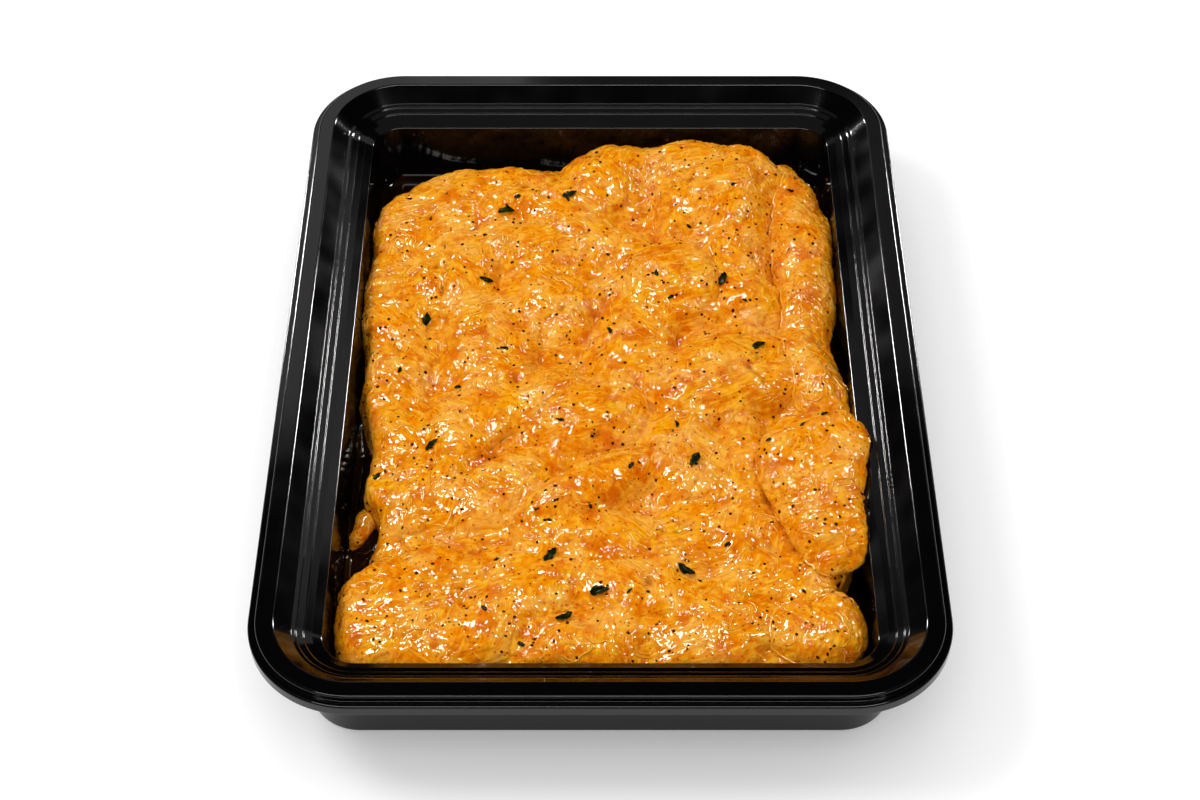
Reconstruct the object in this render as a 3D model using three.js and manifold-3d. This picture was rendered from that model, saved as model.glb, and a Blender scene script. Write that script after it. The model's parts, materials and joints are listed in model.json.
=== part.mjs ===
// An open tray of moulded black plastic, filled with raw chicken pieces in an orange marinade.
// Millimetres, +Z up, +Y towards the far short side, origin on the underside of the base, in its middle.
import * as THREE from "three";
import { mergeVertices } from "three/addons/utils/BufferGeometryUtils.js";
import Module from "manifold-3d";

const wasm = await Module();
wasm.setup();

// Driving dimensions of the tray. An inset is measured inwards from the flat flange's outer edge,
// and a depth downwards from the flange's top.
const FLANGE_WIDTH = 134;
const FLANGE_LENGTH = 184;
const FLANGE_CORNER = 19.5; // corner radius of the flange's outer edge, shared by all contours
const TRAY_HEIGHT = 24.2;
const SHEET = 0.9; // thickness of the moulded wall
const CORNER_STEPS = 5; // half the number of flat facets in each rounded corner
const LIP_OUT = 1.5; // the lip stands this far outside the flange
const LIP_STEP = 1.35; // depth of the narrow step between flange and lip
const LIP_DEPTH = 3.8;
const FLANGE_FLAT = 3.7; // width of the flat flange
const EDGE_ROUND = 0.35; // rounding of the flange's two edges
const BEADS = [
  [6.8, 3.3],
  [7.75, 3.9],
  [9.2, 4.7],
]; // inset and depth of the three fine beads that step down to the ledge
const LEDGE_INSET = 10.6;
const LEDGE_DEPTH = 5.3;
const WALL_TOP_INSET = 12.5;
const WALL_TOP_DEPTH = 6.5;
const WALL_FOOT_INSET = 13.5;
const FLOOR_DEPTH = 22.5;
const FOOT_ROUND = 1.3; // rounding where the inner wall meets the floor
const BASE_INSET = 8.8;
const BASE_ROUND = 0.8;
const OUTER_WALL_TOP_INSET = 7.6;
const CHANNEL_TOP_DEPTH = 9; // the two walls part below this depth, and the channel between them is open below

// Driving dimensions of the contents. Heights are above the underside of the base.
const GAP = 0.35; // clear space between the meat, the tray and loose pieces
const FLOOR_HEIGHT = TRAY_HEIGHT - FLOOR_DEPTH;
const CORE_TOP = 10; // no crease of the meat is deeper than this
const EDGE_WIDTH = 5.5; // the meat's edge rounds down to the floor over this width
const COLUMNS = 36; // facets of the meat's top across the tray and along it
const ROWS = 54;
const RIM_STATIONS = [0, 0.7, 2.2]; // the first facets' distances from an edge, where the side is steep
const FULLNESS = 2.4; // 2 is an ellipsoid, and more is squarer, as soft pieces pressed together are
const SOFTNESS = 7; // the creases between pieces that have grown together are sharper the higher this is
const UNEVEN = 0.07; // how far a piece departs from its smooth form, as a share of its size
const FLAKE = { length: 3.6, width: 1.7, thickness: 0.7, sides: 6 };

// Plan of the mass of meat: its four edges, each from left to right or from front to back.
const FRONT_EDGE = [[-49, -76], [-38, -78.2], [-10, -78.4], [20, -78.4], [34, -78], [41, -76]];
const BACK_EDGE = [[-49, 61], [-44, 65], [-36, 70.5], [-27, 72], [-12, 71.5], [-6, 74], [1, 77.8], [14, 77.5],
  [22, 78.6], [35, 78.6], [40, 76], [46, 72]];
const LEFT_EDGE = [[-49, -76], [-51.5, -69], [-52.3, -60], [-51, -52], [-46.2, -41], [-46.7, -35], [-50, -31],
  [-48.3, -19], [-50.5, -13], [-53.2, -2], [-52.6, 6], [-53.5, 24], [-53.2, 42], [-52, 55], [-49, 61]];
const RIGHT_EDGE = [[41, -76], [46, -68], [48.5, -60], [49.5, -50], [51.5, -38], [52, -26], [51, -16], [48, -6],
  [47, 6], [48, 28], [48.5, 48], [48, 62], [46, 72]];

// The pieces that have grown together under the marinade. Each has the middle of its plan, the height
// of its top, its length and width, and the turn of its length from +X.
const JOINED_PIECES = [
  { x: 27, y: 60, top: 19, length: 34, width: 28, turn: 70 },
  { x: 20, y: 69, top: 18, length: 20, width: 16, turn: 10 },
  { x: 35, y: 67, top: 17.8, length: 18, width: 14, turn: -60 },
  { x: 3, y: 66, top: 16.8, length: 24, width: 20, turn: 35 },
  { x: -9, y: 58, top: 14.8, length: 26, width: 16, turn: -35 },
  { x: -27, y: 60, top: 15.2, length: 36, width: 22, turn: 12 },
  { x: -43, y: 52, top: 13.4, length: 24, width: 18, turn: 60 },
  { x: -46.5, y: 30, top: 13.2, length: 46, width: 17, turn: 88 },
  { x: -33, y: 35, top: 14.8, length: 36, width: 18, turn: 95 },
  { x: -18, y: 43, top: 14.6, length: 30, width: 17, turn: -40 },
  { x: -1, y: 44, top: 15.4, length: 36, width: 14, turn: -32 },
  { x: -9, y: 27, top: 14.2, length: 26, width: 22, turn: 60 },
  { x: 16, y: 31, top: 17.2, length: 27, width: 24, turn: 105 },
  { x: 32, y: 44, top: 17.4, length: 34, width: 14, turn: 92 },
  { x: 33, y: 24, top: 16, length: 16, width: 14, turn: 70 },
  { x: 26, y: 1, top: 16.4, length: 35, width: 26, turn: 28 },
  { x: 7, y: 12, top: 14.4, length: 30, width: 16, turn: 80 },
  { x: -25, y: 12, top: 14.4, length: 38, width: 18, turn: 100 },
  { x: -46, y: 6, top: 13, length: 32, width: 17, turn: 92 },
  { x: -45, y: -12, top: 12.6, length: 28, width: 18, turn: 108 },
  { x: -6, y: -8, top: 15.2, length: 32, width: 23, turn: -12 },
  { x: -28, y: -11, top: 14.2, length: 28, width: 18, turn: 40 },
  { x: -38, y: -31, top: 13.8, length: 28, width: 14, turn: 75 },
  { x: -46, y: -34, top: 12, length: 20, width: 13, turn: 100 },
  { x: -22, y: -30, top: 13.8, length: 30, width: 15, turn: 30 },
  { x: -2, y: -31, top: 15.6, length: 34, width: 12, turn: 27 },
  { x: 18, y: -22, top: 14.8, length: 28, width: 18, turn: 100 },
  { x: 30, y: -24, top: 14, length: 30, width: 12, turn: 85 },
  { x: 3, y: -44, top: 13.8, length: 40, width: 14, turn: -8 },
  { x: 25, y: -43, top: 13.6, length: 28, width: 17, turn: -10 },
  { x: -38, y: -56, top: 14, length: 32, width: 20, turn: 20 },
  { x: -38, y: -68, top: 13.8, length: 30, width: 19, turn: -20 },
  { x: -18, y: -62, top: 14.2, length: 34, width: 14, turn: 40 },
  { x: -14, y: -52, top: 13.4, length: 28, width: 12, turn: 5 },
  { x: -3, y: -70, top: 14, length: 30, width: 17, turn: 12 },
  { x: 8, y: -57, top: 13.9, length: 30, width: 14, turn: -15 },
  { x: 23, y: -67, top: 14, length: 28, width: 20, turn: 60 },
  { x: 38, y: -54, top: 13.2, length: 26, width: 14, turn: -15 },
];

// The pieces whose whole edge shows, each a node of its own. Lean tips a piece about its length and dip
// lowers its far end, in degrees, bend moves its ends sideways, and taper narrows its far end.
const SEPARATE_PIECES = [
  { name: "chicken_back_strip", x: 46.8, y: 41, top: 16.6, length: 60, width: 13.5, thickness: 16, turn: 91, bend: 1 },
  { name: "chicken_side_strip", x: 46.5, y: 1, top: 15.8, length: 32, width: 11.5, thickness: 15, turn: 104, bend: -2 },
  {
    name: "chicken_flap",
    x: 45.3,
    y: -35,
    top: 19.6,
    length: 41,
    width: 19,
    thickness: 8.5,
    turn: -84,
    lean: 9,
    dip: 4,
    bend: 1.5,
    taper: 0.3,
  },
  {
    name: "chicken_fillet_tip",
    x: 42.8,
    y: -67.5,
    top: 14.8,
    length: 20,
    width: 16,
    thickness: 14,
    turn: 12,
    bend: 1,
    taper: -0.12,
  },
  { name: "chicken_sliver", x: 51, y: -46, top: 12.4, length: 18, width: 2.6, thickness: 11, turn: 78, bend: 0.6 },
  { name: "chicken_scrap", x: -50.2, y: -36.5, top: 6.6, length: 8, width: 1.8, thickness: 4.6, turn: 80, bend: 0.8 },
];

// The largest herb flakes, as the middle of each one's plan and its turn in degrees.
const FLAKES = [
  [-22, 52, 10],
  [-26, 30, 0],
  [-39, 19, 80],
  [-7, 57, 20],
  [28, 29, 70],
  [35, 8, 40],
  [20, -26, 60],
  [-10, -50, 60],
  [17.3, -53, 160],
  [0, -59, 5],
  [-7, -66, 30],
  [-36, -20, 50],
];

const plastic = new THREE.MeshStandardMaterial({ color: "#0a0a0b", roughness: 0.2, metalness: 0 });
const meat = new THREE.MeshStandardMaterial({ color: "#e8912e", roughness: 0.35, metalness: 0 });
const radians = THREE.MathUtils.degToRad;

// A solid from a closed geometry, and a geometry from a solid.
function toSolid(geometry) {
  const bare = new THREE.BufferGeometry();
  bare.setAttribute("position", geometry.getAttribute("position"));
  bare.setIndex(geometry.getIndex());
  const merged = mergeVertices(bare, 1e-4);
  const vertProperties = merged.getAttribute("position").array;
  return new wasm.Manifold(new wasm.Mesh({ numProp: 3, vertProperties, triVerts: merged.getIndex().array }));
}

function toGeometry(solid) {
  const { vertProperties, triVerts } = solid.getMesh();
  const geometry = new THREE.BufferGeometry();
  geometry.setAttribute("position", new THREE.BufferAttribute(vertProperties, 3));
  geometry.setIndex(new THREE.BufferAttribute(triVerts, 1));
  return geometry;
}

// Points of the rounded rectangle that lies inset from the flange's outer edge, at a depth.
function contour([inset, depth]) {
  const radius = FLANGE_CORNER - inset;
  const x = FLANGE_WIDTH / 2 - FLANGE_CORNER;
  const y = FLANGE_LENGTH / 2 - FLANGE_CORNER;
  const path = new THREE.Path();
  path.absarc(x, y, radius, 0, Math.PI / 2);
  path.absarc(-x, y, radius, Math.PI / 2, Math.PI);
  path.absarc(-x, -y, radius, Math.PI, 1.5 * Math.PI);
  path.absarc(x, -y, radius, 1.5 * Math.PI, 2 * Math.PI);
  return path.getPoints(CORNER_STEPS).map((p) => new THREE.Vector3(p.x, p.y, TRAY_HEIGHT - depth));
}

// A closed skin through the contours, each end shut by a fan from its middle. It starts at the upper end.
function loft(profile) {
  const rings = profile.map(contour);
  const around = rings[0].length;
  const ends = [rings[0], rings[rings.length - 1]].map((ring) => new THREE.Vector3(0, 0, ring[0].z));
  const last = (rings.length - 1) * around;
  const index = [];
  for (let i = 0; i < around; i++) {
    const next = (i + 1) % around;
    index.push(rings.length * around, i, next);
    index.push(rings.length * around + 1, last + next, last + i);
    for (let ring = 0; ring + 1 < rings.length; ring++) {
      const here = ring * around;
      const below = here + around;
      index.push(here + i, below + i, below + next);
      index.push(here + i, below + next, here + next);
    }
  }
  const geometry = new THREE.BufferGeometry().setFromPoints([...rings.flat(), ...ends]);
  geometry.setIndex(index);
  return geometry;
}

// The inner surface from the flange down to the floor, as insets and depths.
function innerProfile() {
  const beads = BEADS.flatMap(([inset, depth]) => [
    [inset - 0.25, depth - 0.1],
    [inset, depth],
  ]);
  return [
    [FLANGE_FLAT - EDGE_ROUND, 0],
    [FLANGE_FLAT, EDGE_ROUND / 2],
    ...beads,
    [LEDGE_INSET - 0.3, LEDGE_DEPTH - 0.25],
    [LEDGE_INSET, LEDGE_DEPTH],
    [WALL_TOP_INSET - 0.2, WALL_TOP_DEPTH - 0.2],
    [WALL_TOP_INSET, WALL_TOP_DEPTH + 0.2],
    [WALL_FOOT_INSET, FLOOR_DEPTH - FOOT_ROUND],
    [WALL_FOOT_INSET + FOOT_ROUND * 0.3, FLOOR_DEPTH - FOOT_ROUND * 0.3],
    [WALL_FOOT_INSET + FOOT_ROUND, FLOOR_DEPTH],
  ];
}

function trayGeometry() {
  const lipInside = SHEET - LIP_OUT;
  return loft([
    ...innerProfile().reverse(),
    [EDGE_ROUND, 0],
    [0, EDGE_ROUND],
    [0, LIP_STEP],
    [EDGE_ROUND - LIP_OUT, LIP_STEP + 0.1],
    [-LIP_OUT, LIP_STEP + EDGE_ROUND],
    [-LIP_OUT, LIP_DEPTH],
    [lipInside, LIP_DEPTH],
    [lipInside, LIP_STEP + SHEET],
    [SHEET, LIP_STEP + SHEET],
    [SHEET * 1.2, SHEET],
    [FLANGE_FLAT - SHEET / 2, SHEET],
    [BEADS[0][0] - SHEET / 2, BEADS[0][1] + SHEET],
    [OUTER_WALL_TOP_INSET, BEADS[1][1] + SHEET * 1.5],
    [BASE_INSET, TRAY_HEIGHT - BASE_ROUND],
    [BASE_INSET + BASE_ROUND * 0.3, TRAY_HEIGHT - BASE_ROUND * 0.3],
    [BASE_INSET + SHEET, TRAY_HEIGHT],
    [BASE_INSET + SHEET * 1.3, CHANNEL_TOP_DEPTH],
    [WALL_TOP_INSET - SHEET, CHANNEL_TOP_DEPTH],
    [WALL_FOOT_INSET - SHEET, TRAY_HEIGHT],
  ]);
}

// The space that the contents may fill: the tray's inside, less the gap, with room above it.
function insideSpace() {
  const headroom = 10;
  const shrunk = innerProfile().map(([inset, depth]) => [inset + GAP, depth - GAP]);
  return toSolid(loft([[FLANGE_FLAT + GAP, -headroom], ...shrunk]));
}

// How far a piece rises at a plan point, from 0 at its edge to 1 on top, with a rounded shoulder.
function pillow(piece, x, y) {
  const cos = Math.cos(radians(piece.turn));
  const sin = Math.sin(radians(piece.turn));
  const along = ((x - piece.x) * cos + (y - piece.y) * sin) / (piece.length / 2);
  const across = ((y - piece.y) * cos - (x - piece.x) * sin) / (piece.width / 2);
  const reach = Math.abs(along) ** FULLNESS + Math.abs(across) ** FULLNESS;
  return Math.max(0, 1 - reach) ** (1 / FULLNESS);
}

// The meat's height at a plan point: its pieces joined by soft creases over the core.
function meatHeight(x, y) {
  const rises = JOINED_PIECES.map((piece) => (piece.top - CORE_TOP) * pillow(piece, x, y));
  return CORE_TOP + rises.reduce((sum, rise) => sum + rise ** SOFTNESS, 0) ** (1 / SOFTNESS);
}

function edgeCurve(points) {
  return new THREE.SplineCurve(points.map(([x, y]) => new THREE.Vector2(x, y)));
}

// Places along a direction from 0 to 1: close together at both ends, then even.
function stations(count, span) {
  const near = RIM_STATIONS.map((distance) => distance / span);
  const inner = near[near.length - 1];
  const even = Array.from({ length: count - 1 }, (_, i) => inner + ((1 - 2 * inner) * (i + 1)) / count);
  return [...near, ...even, ...near.map((place) => 1 - place).reverse()];
}

// The mass of meat: a top stretched between the four edges, rounded down to a flat underside.
function massSolid() {
  const [front, back, left, right] = [FRONT_EDGE, BACK_EDGE, LEFT_EDGE, RIGHT_EDGE].map(edgeCurve);
  const width = FRONT_EDGE[FRONT_EDGE.length - 1][0] - FRONT_EDGE[0][0];
  const length = BACK_EDGE[0][1] - FRONT_EDGE[0][1];
  const underside = FLOOR_HEIGHT + GAP;
  const across = stations(COLUMNS, width);
  const along = stations(ROWS, length);
  const edges = (curve, places) => places.map((place) => curve.getPoint(place));
  const [frontPoints, backPoints] = [front, back].map((curve) => edges(curve, across));
  const [leftPoints, rightPoints] = [left, right].map((curve) => edges(curve, along));
  const points = along.flatMap((v, row) =>
    across.map((u, column) => {
      const blend = (axis) =>
        (1 - v) * frontPoints[column][axis] +
        v * backPoints[column][axis] +
        (1 - u) * leftPoints[row][axis] +
        u * rightPoints[row][axis] -
        (1 - v) * ((1 - u) * frontPoints[0][axis] + u * frontPoints.at(-1)[axis]) -
        v * ((1 - u) * backPoints[0][axis] + u * backPoints.at(-1)[axis]);
      const [x, y] = [blend("x"), blend("y")];
      const inwards = Math.min(Math.min(u, 1 - u) * width, Math.min(v, 1 - v) * length, EDGE_WIDTH);
      const rise = Math.sqrt(Math.max(0, 1 - (1 - inwards / EDGE_WIDTH) ** 2));
      return new THREE.Vector3(x, y, underside + (meatHeight(x, y) - underside) * rise);
    }),
  );
  const wide = across.length;
  const tall = along.length;
  const index = [];
  for (let row = 0; row + 1 < tall; row++) {
    for (let column = 0; column + 1 < wide; column++) {
      const here = row * wide + column;
      index.push(here, here + 1, here + wide + 1);
      index.push(here, here + wide + 1, here + wide);
    }
  }
  const rim = [];
  for (let column = 0; column < wide - 1; column++) rim.push(column);
  for (let row = 0; row < tall - 1; row++) rim.push(row * wide + wide - 1);
  for (let column = wide - 1; column > 0; column--) rim.push((tall - 1) * wide + column);
  for (let row = tall - 1; row > 0; row--) rim.push(row * wide);
  for (const [a, b, c] of THREE.ShapeUtils.triangulateShape(rim.map((i) => points[i]), [])) {
    index.push(rim[a], rim[c], rim[b]);
  }
  const geometry = new THREE.BufferGeometry().setFromPoints(points);
  geometry.setIndex(index);
  return toSolid(geometry);
}

// Three slow waves over the directions around a piece, from the place of the piece, between -1 and 1.
function unevenness(direction, { x, y }) {
  const phase = 0.37 * x + 0.61 * y;
  const a = Math.sin(3.1 * direction.x + 2.3 * direction.y + phase);
  const b = Math.sin(4.3 * direction.y - 2.7 * direction.z + 1.7 * phase);
  const c = Math.sin(5.2 * direction.x + 3.9 * direction.z - 0.8 * phase);
  return (a + b + c) / 3;
}

// One loose piece: a rounded cushion form, uneven, shaped, turned and placed by its top. Grow adds to each side.
function pieceSolid(piece, grow = 0) {
  const detail = piece.width > 5 ? 3 : 2;
  const geometry = new THREE.IcosahedronGeometry(1, detail);
  const position = geometry.getAttribute("position");
  const point = new THREE.Vector3();
  const half = new THREE.Vector3(piece.length, piece.width, piece.thickness).multiplyScalar(0.5).addScalar(grow);
  const turn = new THREE.Euler(radians(piece.lean ?? 0), radians(piece.dip ?? 0), radians(piece.turn), "ZYX");
  for (let i = 0; i < position.count; i++) {
    point.fromBufferAttribute(position, i).normalize();
    const sum = Math.abs(point.x) ** FULLNESS + Math.abs(point.y) ** FULLNESS + Math.abs(point.z) ** FULLNESS;
    point.multiplyScalar(sum ** (-1 / FULLNESS) * (1 + UNEVEN * unevenness(point, piece)));
    const along = point.x;
    point.multiply(half);
    point.y = point.y * (1 - (piece.taper ?? 0) * along) + (piece.bend ?? 0) * along ** 2;
    point.applyEuler(turn);
    position.setXYZ(i, point.x + piece.x, point.y + piece.y, point.z + piece.top - piece.thickness / 2);
  }
  return toSolid(geometry);
}

// A herb flake: a thin pointed leaf that lies on the meat and follows its slope.
function flakeSolid([x, y, turn], surface) {
  const ray = new THREE.Raycaster(new THREE.Vector3(x, y, 2 * TRAY_HEIGHT), new THREE.Vector3(0, 0, -1));
  const hit = ray.intersectObject(surface)[0];
  const leaf = new THREE.SphereGeometry(0.5, FLAKE.sides, 4);
  leaf.rotateX(Math.PI / 2);
  leaf.scale(FLAKE.length, FLAKE.width, FLAKE.thickness);
  leaf.rotateZ(radians(turn));
  const slope = new THREE.Quaternion().setFromUnitVectors(new THREE.Vector3(0, 0, 1), hit.face.normal);
  leaf.applyQuaternion(slope);
  leaf.translate(hit.point.x, hit.point.y, hit.point.z);
  return toSolid(leaf);
}

function addMesh(group, name, geometry, material) {
  const mesh = new THREE.Mesh(geometry, material);
  mesh.name = name;
  group.add(mesh);
}

const pack = new THREE.Group();
addMesh(pack, "tray", trayGeometry(), plastic);

const inside = insideSpace();
let mass = massSolid().intersect(inside);
for (const piece of SEPARATE_PIECES) {
  mass = mass.subtract(pieceSolid(piece, GAP));
}
const bare = new THREE.Mesh(toGeometry(mass), meat);
for (const flake of FLAKES) {
  mass = mass.add(flakeSolid(flake, bare));
}
addMesh(pack, "chicken_mass", toGeometry(mass), meat);
SEPARATE_PIECES.forEach((piece, i) => {
  let solid = pieceSolid(piece).intersect(inside);
  for (const other of SEPARATE_PIECES.slice(i + 1)) {
    solid = solid.subtract(pieceSolid(other, GAP));
  }
  addMesh(pack, piece.name, toGeometry(solid), meat);
});

export default pack;
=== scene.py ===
"""An open tray of moulded black plastic, filled with raw chicken pieces in an orange marinade.

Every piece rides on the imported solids, in metres, with +Z up and +Y towards the tray's far end. The tray is
lofted again from the same profile with true fillets, the chicken is refined from its own solids, and the
pepper, chilli, herbs and thin marinade are added to it.
"""

import json
import logging
import math
from dataclasses import dataclass, field
from enum import Enum

import bmesh
import bpy
import numpy as np
from mathutils import Matrix, Vector
from mathutils.bvhtree import BVHTree
from mathutils.kdtree import KDTree

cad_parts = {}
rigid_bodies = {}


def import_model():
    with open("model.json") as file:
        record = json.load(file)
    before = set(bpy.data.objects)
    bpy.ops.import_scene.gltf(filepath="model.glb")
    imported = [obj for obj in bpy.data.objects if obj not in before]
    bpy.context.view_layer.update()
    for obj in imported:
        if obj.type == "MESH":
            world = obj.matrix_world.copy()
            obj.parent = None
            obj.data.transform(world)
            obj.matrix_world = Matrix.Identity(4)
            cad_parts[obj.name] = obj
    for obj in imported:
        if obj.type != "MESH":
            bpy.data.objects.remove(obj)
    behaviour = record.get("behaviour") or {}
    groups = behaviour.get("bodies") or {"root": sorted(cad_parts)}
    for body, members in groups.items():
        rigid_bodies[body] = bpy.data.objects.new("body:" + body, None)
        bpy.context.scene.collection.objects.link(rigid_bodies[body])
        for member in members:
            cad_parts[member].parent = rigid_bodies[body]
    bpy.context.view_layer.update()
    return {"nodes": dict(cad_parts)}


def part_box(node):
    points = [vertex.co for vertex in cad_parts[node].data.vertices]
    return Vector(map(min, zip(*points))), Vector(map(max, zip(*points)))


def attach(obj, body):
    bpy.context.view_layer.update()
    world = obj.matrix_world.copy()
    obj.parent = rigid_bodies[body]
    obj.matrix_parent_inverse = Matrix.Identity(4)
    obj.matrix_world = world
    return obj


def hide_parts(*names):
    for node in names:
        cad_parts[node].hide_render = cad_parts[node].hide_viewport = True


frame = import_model()

MM = 0.001
BODY = "root"
LOG = logging.getLogger("meat_tray_pack")

Inputs = dict[str | int, object]
Socket = bpy.types.NodeSocket
Tree = bpy.types.NodeTree


def linear(hex_colour: str) -> tuple[float, float, float, float]:
    """Turns an sRGB hex colour into linear RGBA.

    Args:
        hex_colour: Six hex digits after a hash sign.

    Returns:
        Red, green, blue and an alpha of 1.
    """
    channels = [int(hex_colour[i : i + 2], 16) / 255 for i in (1, 3, 5)]
    curved = [c / 12.92 if c <= 0.04045 else ((c + 0.055) / 1.055) ** 2.4 for c in channels]
    return (*curved, 1.0)


def add_node(tree: Tree, kind: str, inputs: Inputs | None = None, **settings: object) -> bpy.types.Node:
    """Adds one node with its settings, its constant inputs and its links.

    Args:
        tree: The tree that gets the node.
        kind: The node's class name.
        inputs: Values or output sockets, by the input's name or number.
        settings: Properties of the node.

    Returns:
        The new node.
    """
    node = tree.nodes.new(kind)
    for name, value in settings.items():
        setattr(node, name, value)
    for key, value in (inputs or {}).items():
        if isinstance(value, Socket):
            tree.links.new(value, node.inputs[key])
        else:
            node.inputs[key].default_value = value
    return node


def new_object(name: str, mesh: bpy.types.Mesh) -> bpy.types.Object:
    """Links a new object that holds a mesh."""
    thing = bpy.data.objects.new(name, mesh)
    bpy.context.scene.collection.objects.link(thing)
    return thing


def bake_modifiers(thing: bpy.types.Object) -> None:
    """Replaces an object's mesh with its evaluated mesh and removes its modifiers."""
    bpy.context.view_layer.update()
    graph = bpy.context.evaluated_depsgraph_get()
    mesh = bpy.data.meshes.new_from_object(thing.evaluated_get(graph), depsgraph=graph)
    thing.modifiers.clear()
    thing.data = mesh


def shade_smooth(mesh: bpy.types.Mesh) -> None:
    """Shades every face of a mesh smooth."""
    mesh.polygons.foreach_set("use_smooth", [True] * len(mesh.polygons))


def rows(collection: bpy.types.bpy_prop_collection, name: str, kind: type = float) -> np.ndarray:
    """Reads a property of three numbers from every item, as rows of an array."""
    flat = np.empty(len(collection) * 3, dtype=np.float32)
    collection.foreach_get(name, flat)
    return flat.reshape(-1, 3).astype(kind)


def edge_pairs(mesh: bpy.types.Mesh) -> np.ndarray:
    """Reads the two points of every edge, as rows of an array."""
    flat = np.empty(len(mesh.edges) * 2, dtype=np.int32)
    mesh.edges.foreach_get("vertices", flat)
    return flat.reshape(-1, 2)


def skin(mesh: bpy.types.Mesh) -> BVHTree:
    """Gives a tree of a mesh's faces, for finding the nearest one."""
    points = [vertex.co for vertex in mesh.vertices]
    return BVHTree.FromPolygons(points, [tuple(polygon.vertices) for polygon in mesh.polygons])


def finished_mesh(name: str, built: bmesh.types.BMesh) -> bpy.types.Mesh:
    """Turns a worked mesh into a smoothly shaded one, and frees it.

    Args:
        name: The name of the new mesh.
        built: The worked mesh.

    Returns:
        The new mesh.
    """
    mesh = bpy.data.meshes.new(name)
    built.to_mesh(mesh)
    built.free()
    shade_smooth(mesh)
    return mesh


def new_tree(name: str, inputs: dict[str, str], output: str) -> Tree:
    """Starts a Geometry Nodes tree.

    Args:
        name: The tree's name.
        inputs: The kind of socket of each input, by the input's name.
        output: The name of the geometry that it gives.

    Returns:
        The tree, still without nodes.
    """
    tree = bpy.data.node_groups.new(name, "GeometryNodeTree")
    for label, kind in inputs.items():
        tree.interface.new_socket(label, in_out="INPUT", socket_type=kind)
    tree.interface.new_socket(output, in_out="OUTPUT", socket_type="NodeSocketGeometry")
    return tree


def apply_tree(thing: bpy.types.Object, tree: Tree, values: dict[str, float | int]) -> None:
    """Runs a Geometry Nodes tree on an object and keeps the result as its plain mesh.

    Args:
        thing: The object.
        tree: The tree.
        values: What each named input gets, set by the socket's identifier.
    """
    modifier = thing.modifiers.new(tree.name, "NODES")
    modifier.node_group = tree
    for item in tree.interface.items_tree:
        if item.name in values:
            modifier[item.identifier] = values[item.name]
    bake_modifiers(thing)


def new_material(name: str) -> tuple[bpy.types.Material, Tree, bpy.types.Node, Socket]:
    """Makes a material.

    Args:
        name: Its name.

    Returns:
        The material, its tree, its shader, and the coordinates of the piece that it is on.
    """
    material = bpy.data.materials.new(name)
    material.use_nodes = True
    tree = material.node_tree
    place = add_node(tree, "ShaderNodeTexCoord").outputs["Object"]
    return material, tree, tree.nodes["Principled BSDF"], place


def noise(tree: Tree, place: Socket, grain_mm: float, detail: float = 2.0) -> Socket:
    """Adds a noise whose grain has a real size."""
    inputs = {"Vector": place, "Scale": 1 / (grain_mm * MM), "Detail": detail}
    return add_node(tree, "ShaderNodeTexNoise", inputs).outputs["Fac"]


def two_tone(tree: Tree, cloud: Socket, span: tuple[float, float], colours: tuple[str, str]) -> Socket:
    """Blends two colours by a noise.

    Args:
        tree: The material's tree.
        cloud: The noise.
        span: The values of the noise at which each colour is pure.
        colours: Their hex values.

    Returns:
        The blended colour.
    """
    share = add_node(tree, "ShaderNodeMapRange", {"Value": cloud, "From Min": span[0], "From Max": span[1]})
    inputs = {"Factor": share.outputs["Result"], 6: linear(colours[0]), 7: linear(colours[1])}
    return add_node(tree, "ShaderNodeMix", inputs, data_type="RGBA").outputs[2]


def tie(
    thing: bpy.types.Object, material: bpy.types.Material, nodes: tuple[str, ...] = ()
) -> None:
    """Dresses a finished piece and ties it to the frame.

    Args:
        thing: The piece, at the origin.
        material: Its only material.
        nodes: The solids that it stands for.
    """
    thing.data.materials.clear()
    thing.data.materials.append(material)
    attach(thing, BODY)
    if nodes:
        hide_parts(*nodes)
    LOG.info("%s: %d faces", thing.name, len(thing.data.polygons))


class Slot(Enum):
    """The record's material slots."""

    TRAY = "tray"
    CHICKEN = "chicken"
    HERBS = "herbs"
    MARINADE = "marinade"


class Noise:
    """Seeded noise over points in space, worked out for many points at once."""

    @staticmethod
    def draws(cells: np.ndarray, seed: int) -> np.ndarray:
        """Gives each whole-number cell its fixed random numbers.

        Args:
            cells: Rows of three whole numbers.
            seed: The seed of the draw.

        Returns:
            Three numbers from 0 to 1 for each row.
        """
        whole = cells.astype(np.int64)
        mixed = (whole[:, 0] * 73856093) ^ (whole[:, 1] * 19349663) ^ (whole[:, 2] * 83492791) ^ (seed * 7919)
        mixed &= 0x7FFFFFFF
        columns = []
        for _ in range(3):
            mixed = ((mixed ^ (mixed >> 15)) * 739982445) & 0x7FFFFFFF
            mixed = ((mixed ^ (mixed >> 12)) * 695872825) & 0x7FFFFFFF
            columns.append((mixed ^ (mixed >> 14)) / 0x7FFFFFFF)
        return np.stack(columns, axis=-1)

    @classmethod
    def soft(cls, points: np.ndarray, grain: float | np.ndarray, seed: int) -> np.ndarray:
        """Three fields of smooth noise, each from -1 to 1.

        Args:
            points: Rows of x, y and z.
            grain: The size of the noise's grain, in the points' unit, or one for each axis.
            seed: The seed of the draw.

        Returns:
            Three values for each point.
        """
        scaled = points / grain
        corner = np.floor(scaled)
        part = scaled - corner
        part = part * part * (3 - 2 * part)
        total = np.zeros((len(points), 3))
        for offset in np.ndindex(2, 2, 2):
            weight = np.prod(np.where(np.array(offset) == 1, part, 1 - part), axis=1)
            total += weight[:, None] * cls.draws(corner + np.array(offset), seed)
        return 2 * total - 1


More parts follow.
